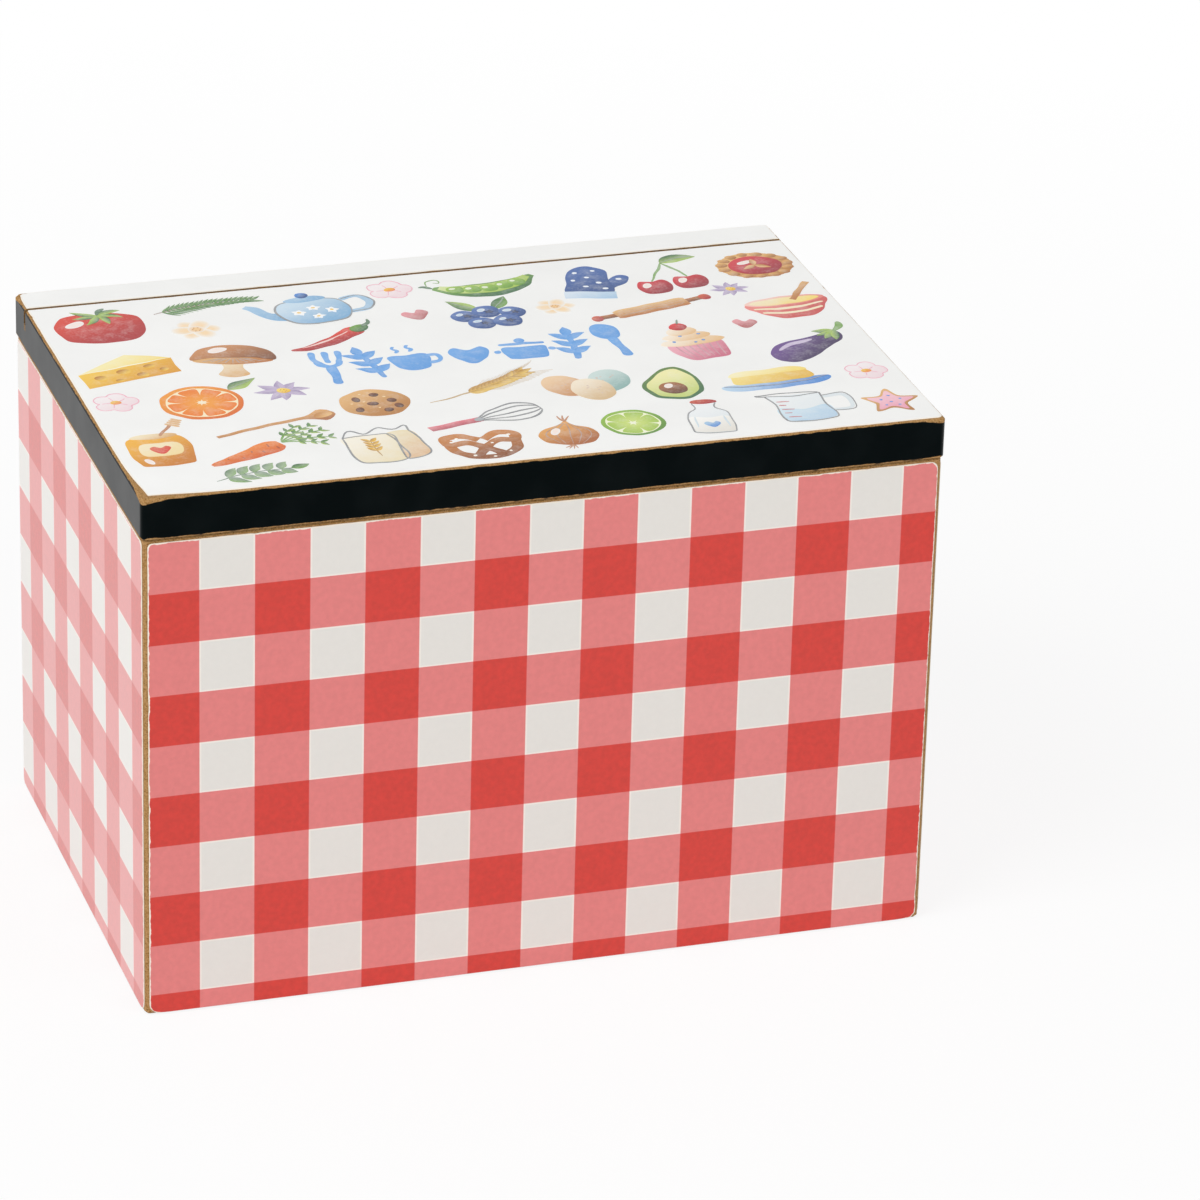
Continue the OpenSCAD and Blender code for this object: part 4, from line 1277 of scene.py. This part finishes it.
# %% [markdown]
# The middle of the lid is a row of bold blue signs, each cut with one loaded stroke of a flat
# brush. They are drawn twice as heavy as anything around them, so they read from across a room.

# %% The blue ornament
def blue_ornament(brush, ink="#73ACE8", to="#5F9DDE"):
    """Seven bold kitchen signs in a row: fork, sprig, cup, heart, pot, sprig and spoon."""
    bold = 2.0
    brush.move(-28.5, 0, -4)
    for x in (-2.6, 0, 2.6):
        brush.line([(x, 8), (x, 4.6), (0.75 * x, 2.2)], 1.35, ink, 1, 0, 0)
    brush.line([(-2.4, 3.2), (-1.6, 1.2), (0, 0.4), (1.6, 1.2), (2.4, 3.2)], 1.5, ink, 1, 1, 0)
    brush.line([(0, 0.8), (0.1, -4), (0, -8.4)], bold, ink, 1, 2, 0, to=to)
    for x, turn in ((-20.6, 8), (20.3, -6)):
        brush.move(x, -0.5, turn)
        brush.line([(0, -7), (0.3, 0), (0, 6)], 1.3, ink, 1, 0, 0.2, to=to)
        for y in (-4.2, -0.6, 3):
            brush.leaf(0, y, 42, 4.8, 2.3, ink, to, 0.3, 1, 1)
            brush.leaf(0, y, 138, 4.8, 2.3, ink, to, -0.3, 1, 1)
        brush.leaf(0, 5, 90, 4.4, 2.3, ink, to, 0, 1, 1)
    brush.move(-12.4, -1.4, 3, 0.9)
    brush.blob(both_sides([(0, 4.2), (4.4, 4), (4, -1), (2.2, -4)]), ink, to)
    brush.line([(4, 3), (6.3, 2.6), (6.2, -0.4), (3.6, -1.2)], 1.3, ink, 1, 1, 0)
    for x in (-2, 1.2):
        brush.line([(x, 5.8), (x + 0.8, 7.2), (x, 8.2), (x + 0.8, 9.6)], 0.9, ink, 1, 0, 0.3)
    brush.move(-0.4, 0, -3, 0.82)
    brush.blob(both_sides([(0, 2.2), (3.2, 4.2), (5, 1.6), (3.8, -2.2), (0, -6)]), ink, to)
    brush.move(10.6, -1, -3, 0.86)
    brush.blob(both_sides([(0, 2.3), (5, 2.2), (4.6, -3.4), (3, -4.6)]), ink, to)
    brush.line([(-5.4, 4), (0, 4.3), (5.4, 4)], 1.3, ink, 1, 0, 0.1, to=to)
    brush.blob(oval(0, 6, 1.3), ink, to)
    for x in (-6, 6):
        brush.line([(x, 1), (1.12 * x, -0.6)], 1.5, ink, 1, 0, 0)
    brush.move(29, 0, 5)
    brush.blob(oval(0, 4.6, 2.9, 4), ink, to)
    brush.line([(0, 1.5), (0.1, -4), (0, -8.4)], bold, ink, 1, 1, 0, to=to)


report_wafers(blue_ornament)

# %% [markdown]
# ## Ink on the paper
# The ink's material is the lid's own paper, stained. The stain's strength wanders with soft
# clouds where water pooled, breaks up in the paper's grain, and grows at the rim of each shape,
# where a drying wash leaves its pigment.

# %% Print the lid
stained = white_paper_material("watercolour_on_coated_paper", stained=True)
lid_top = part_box("lid_paper_main")[1].z


def printed(name, brush):
    """Makes one piece of all that a brush has laid, in the lid's plane."""
    points = np.concatenate(brush.points) * MM + [0, 0, lid_top]
    made = make_piece(name, points, brush.faces, stained,
                      {"strength": np.concatenate(brush.strengths), "edge": np.concatenate(brush.edges)},
                      {"ink": np.concatenate(brush.inks)})
    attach(made, "lid")
    print(f"{name}: {len(made.data.polygons)} faces")


picture_brush = FineBrush(4)
for motif, x, y, turn, size in LAYOUT:
    picture_brush.move(x, y, turn, size)
    motif(picture_brush)
printed("lid_watercolour_print", picture_brush)

sign_brush = FineBrush(6)
blue_ornament(sign_brush)
printed("lid_blue_signs", sign_brush)

# %% [markdown]
# ## Brass and steel
# The hinges are stamped from brass sheet and rubbed with a cloth, and handling has tarnished
# them a little. Their countersunk screws are turned from the same brass. The brads that hold
# the boards together are plain drawn steel. Both are metals, so the colour is the reflection's.

# %% Hinge brass and brad steel
def metal_material(name, bright, dull, rough_span, stroke_mm):
    """A metal with fine strokes along X and cloudy tarnish between two colours."""
    made, add, place, _ = new_material(name)
    stretched = add("Mapping", {"Vector": place, "Scale": (0.08, 1.0, 1.0)})
    strokes = add("TexNoise", {"Vector": stretched, "Scale": per(stroke_mm), "Detail": 4.0})
    cloud = add("TexNoise", {"Vector": place, "Scale": per(4.0), "Detail": 6.0})
    tarnish = add("MapRange", [cloud, 0.4, 0.7])
    colour = add("Mix", {0: tarnish, MIX_A: linear(bright), MIX_B: linear(dull)}, **COLOURS)
    rough = add("MapRange", [strokes, *NOISE, *rough_span])
    bump = add("Bump", {"Height": strokes, "Strength": 0.15, "Distance": 0.03 * MM})
    shader = add("BsdfPrincipled", {"Base Color": colour, "Metallic": 1.0, "Roughness": rough,
                                    "Normal": bump})
    add("OutputMaterial", [shader])
    return made


METALS = {
    "hinge_brass": metal_material("rubbed_brass", "#D9B36A", "#A47C42", (0.22, 0.38), 0.25),
    "brad_steel": metal_material("drawn_steel", "#B9BBBD", "#85878A", (0.3, 0.45), 0.15),
}
for slot, metal in METALS.items():
    names = [part["node"] for part in frame["record"]["subparts"] if part["material_slot"] == slot]
    finish_parts(names, metal)
    print(slot, "finishes", ", ".join(names))

# %% [markdown]
# ## Floor and light
# The box stands on a white sweep in a light tent. The tent is the world: rays from the camera,
# and rays mirrored by satin paper or brass, see it as plain white, and soft light from it
# reaches the box from all round. The floor is white card. To the camera it is mostly a white
# of its own, so the picture's ground is clean, and it keeps a part of its true shade, so the
# box still has its shadow.

# %% White floor
FLOOR_SIDE, FLOOR_DROP = 8.0, 0.15 * MM
PURE_NEAR, PURE_FAR = 0.86, 1.0
SHADOW_REACH = (0.16, 0.5)


def seen_directly(add):
    """1 for rays from the camera and for mirrored or transmitted ones."""
    path = add("LightPath", out=None)
    direct = add("Math", [path["Is Camera Ray"], path["Is Glossy Ray"]], operation="MAXIMUM")
    return add("Math", [direct, path["Is Transmission Ray"]], operation="MAXIMUM")


floor_white, add, place, _ = new_material("white_card_floor")
distance = add("VectorMath", [place], out="Value", operation="LENGTH")
purity = add("MapRange", [distance, *SHADOW_REACH, PURE_NEAR, PURE_FAR])
share = add("Math", [seen_directly(add), purity], operation="MULTIPLY")
card = add("BsdfDiffuse", {"Color": linear("#F6F6F6")})
pure = add("Emission", {"Color": (1, 1, 1, 1), "Strength": 1.0})
add("OutputMaterial", [add("MixShader", [share, card, pure])])

corners = np.array([[-1, -1, 0], [1, -1, 0], [1, 1, 0], [-1, 1, 0]]) * FLOOR_SIDE / 2
floor = make_piece("floor", corners - [0, 0, FLOOR_DROP], [[0, 1, 2, 3]], floor_white)
print("the floor lies", FLOOR_DROP / MM, "mm under the box")

# %% [markdown]
# One large lamp above the left front gives the lid its brightness, and a weaker one from the
# right front keeps that side open. An area lamp's light on a facing surface is its power over
# pi squared and the distance squared, so each power is worked out from the light wanted.

# %% Lamps and world
WORLD_LIGHT = 0.5
AIM = np.array([0.0, 0.0, 0.06])
LAMPS = {
    "key": dict(place=(-1.3, -0.6, 1.6), side=1.2, light=0.55),
    "fill": dict(place=(1.2, -1.5, 1.0), side=1.0, light=0.16),
}

world = bpy.data.worlds.new("light_tent")
bpy.context.scene.world = world
world.use_nodes = True
world.node_tree.nodes.clear()
add = partial(add_node, world.node_tree)
strength = add("MapRange", [seen_directly(add), 0, 1, WORLD_LIGHT, 1.0])
add("OutputWorld", [add("Background", {"Color": (1, 1, 1, 1), "Strength": strength})])

for name, facts in LAMPS.items():
    lamp = bpy.data.objects.new(name, bpy.data.lights.new(name, "AREA"))
    away = np.array(facts["place"]) - AIM
    lamp.data.shape = "SQUARE"
    lamp.data.size = facts["side"]
    lamp.data.energy = float(facts["light"] * math.pi**2 * away @ away)
    lamp.location = facts["place"]
    lamp.rotation_mode = "QUATERNION"
    lamp.rotation_quaternion = Vector(away).to_track_quat("Z", "Y")
    bpy.context.scene.collection.objects.link(lamp)
    print(f"{name} lamp: {lamp.data.energy:.0f} W")

# %% Finish with the Standard view transform
bpy.context.scene.view_settings.view_transform = "Standard"
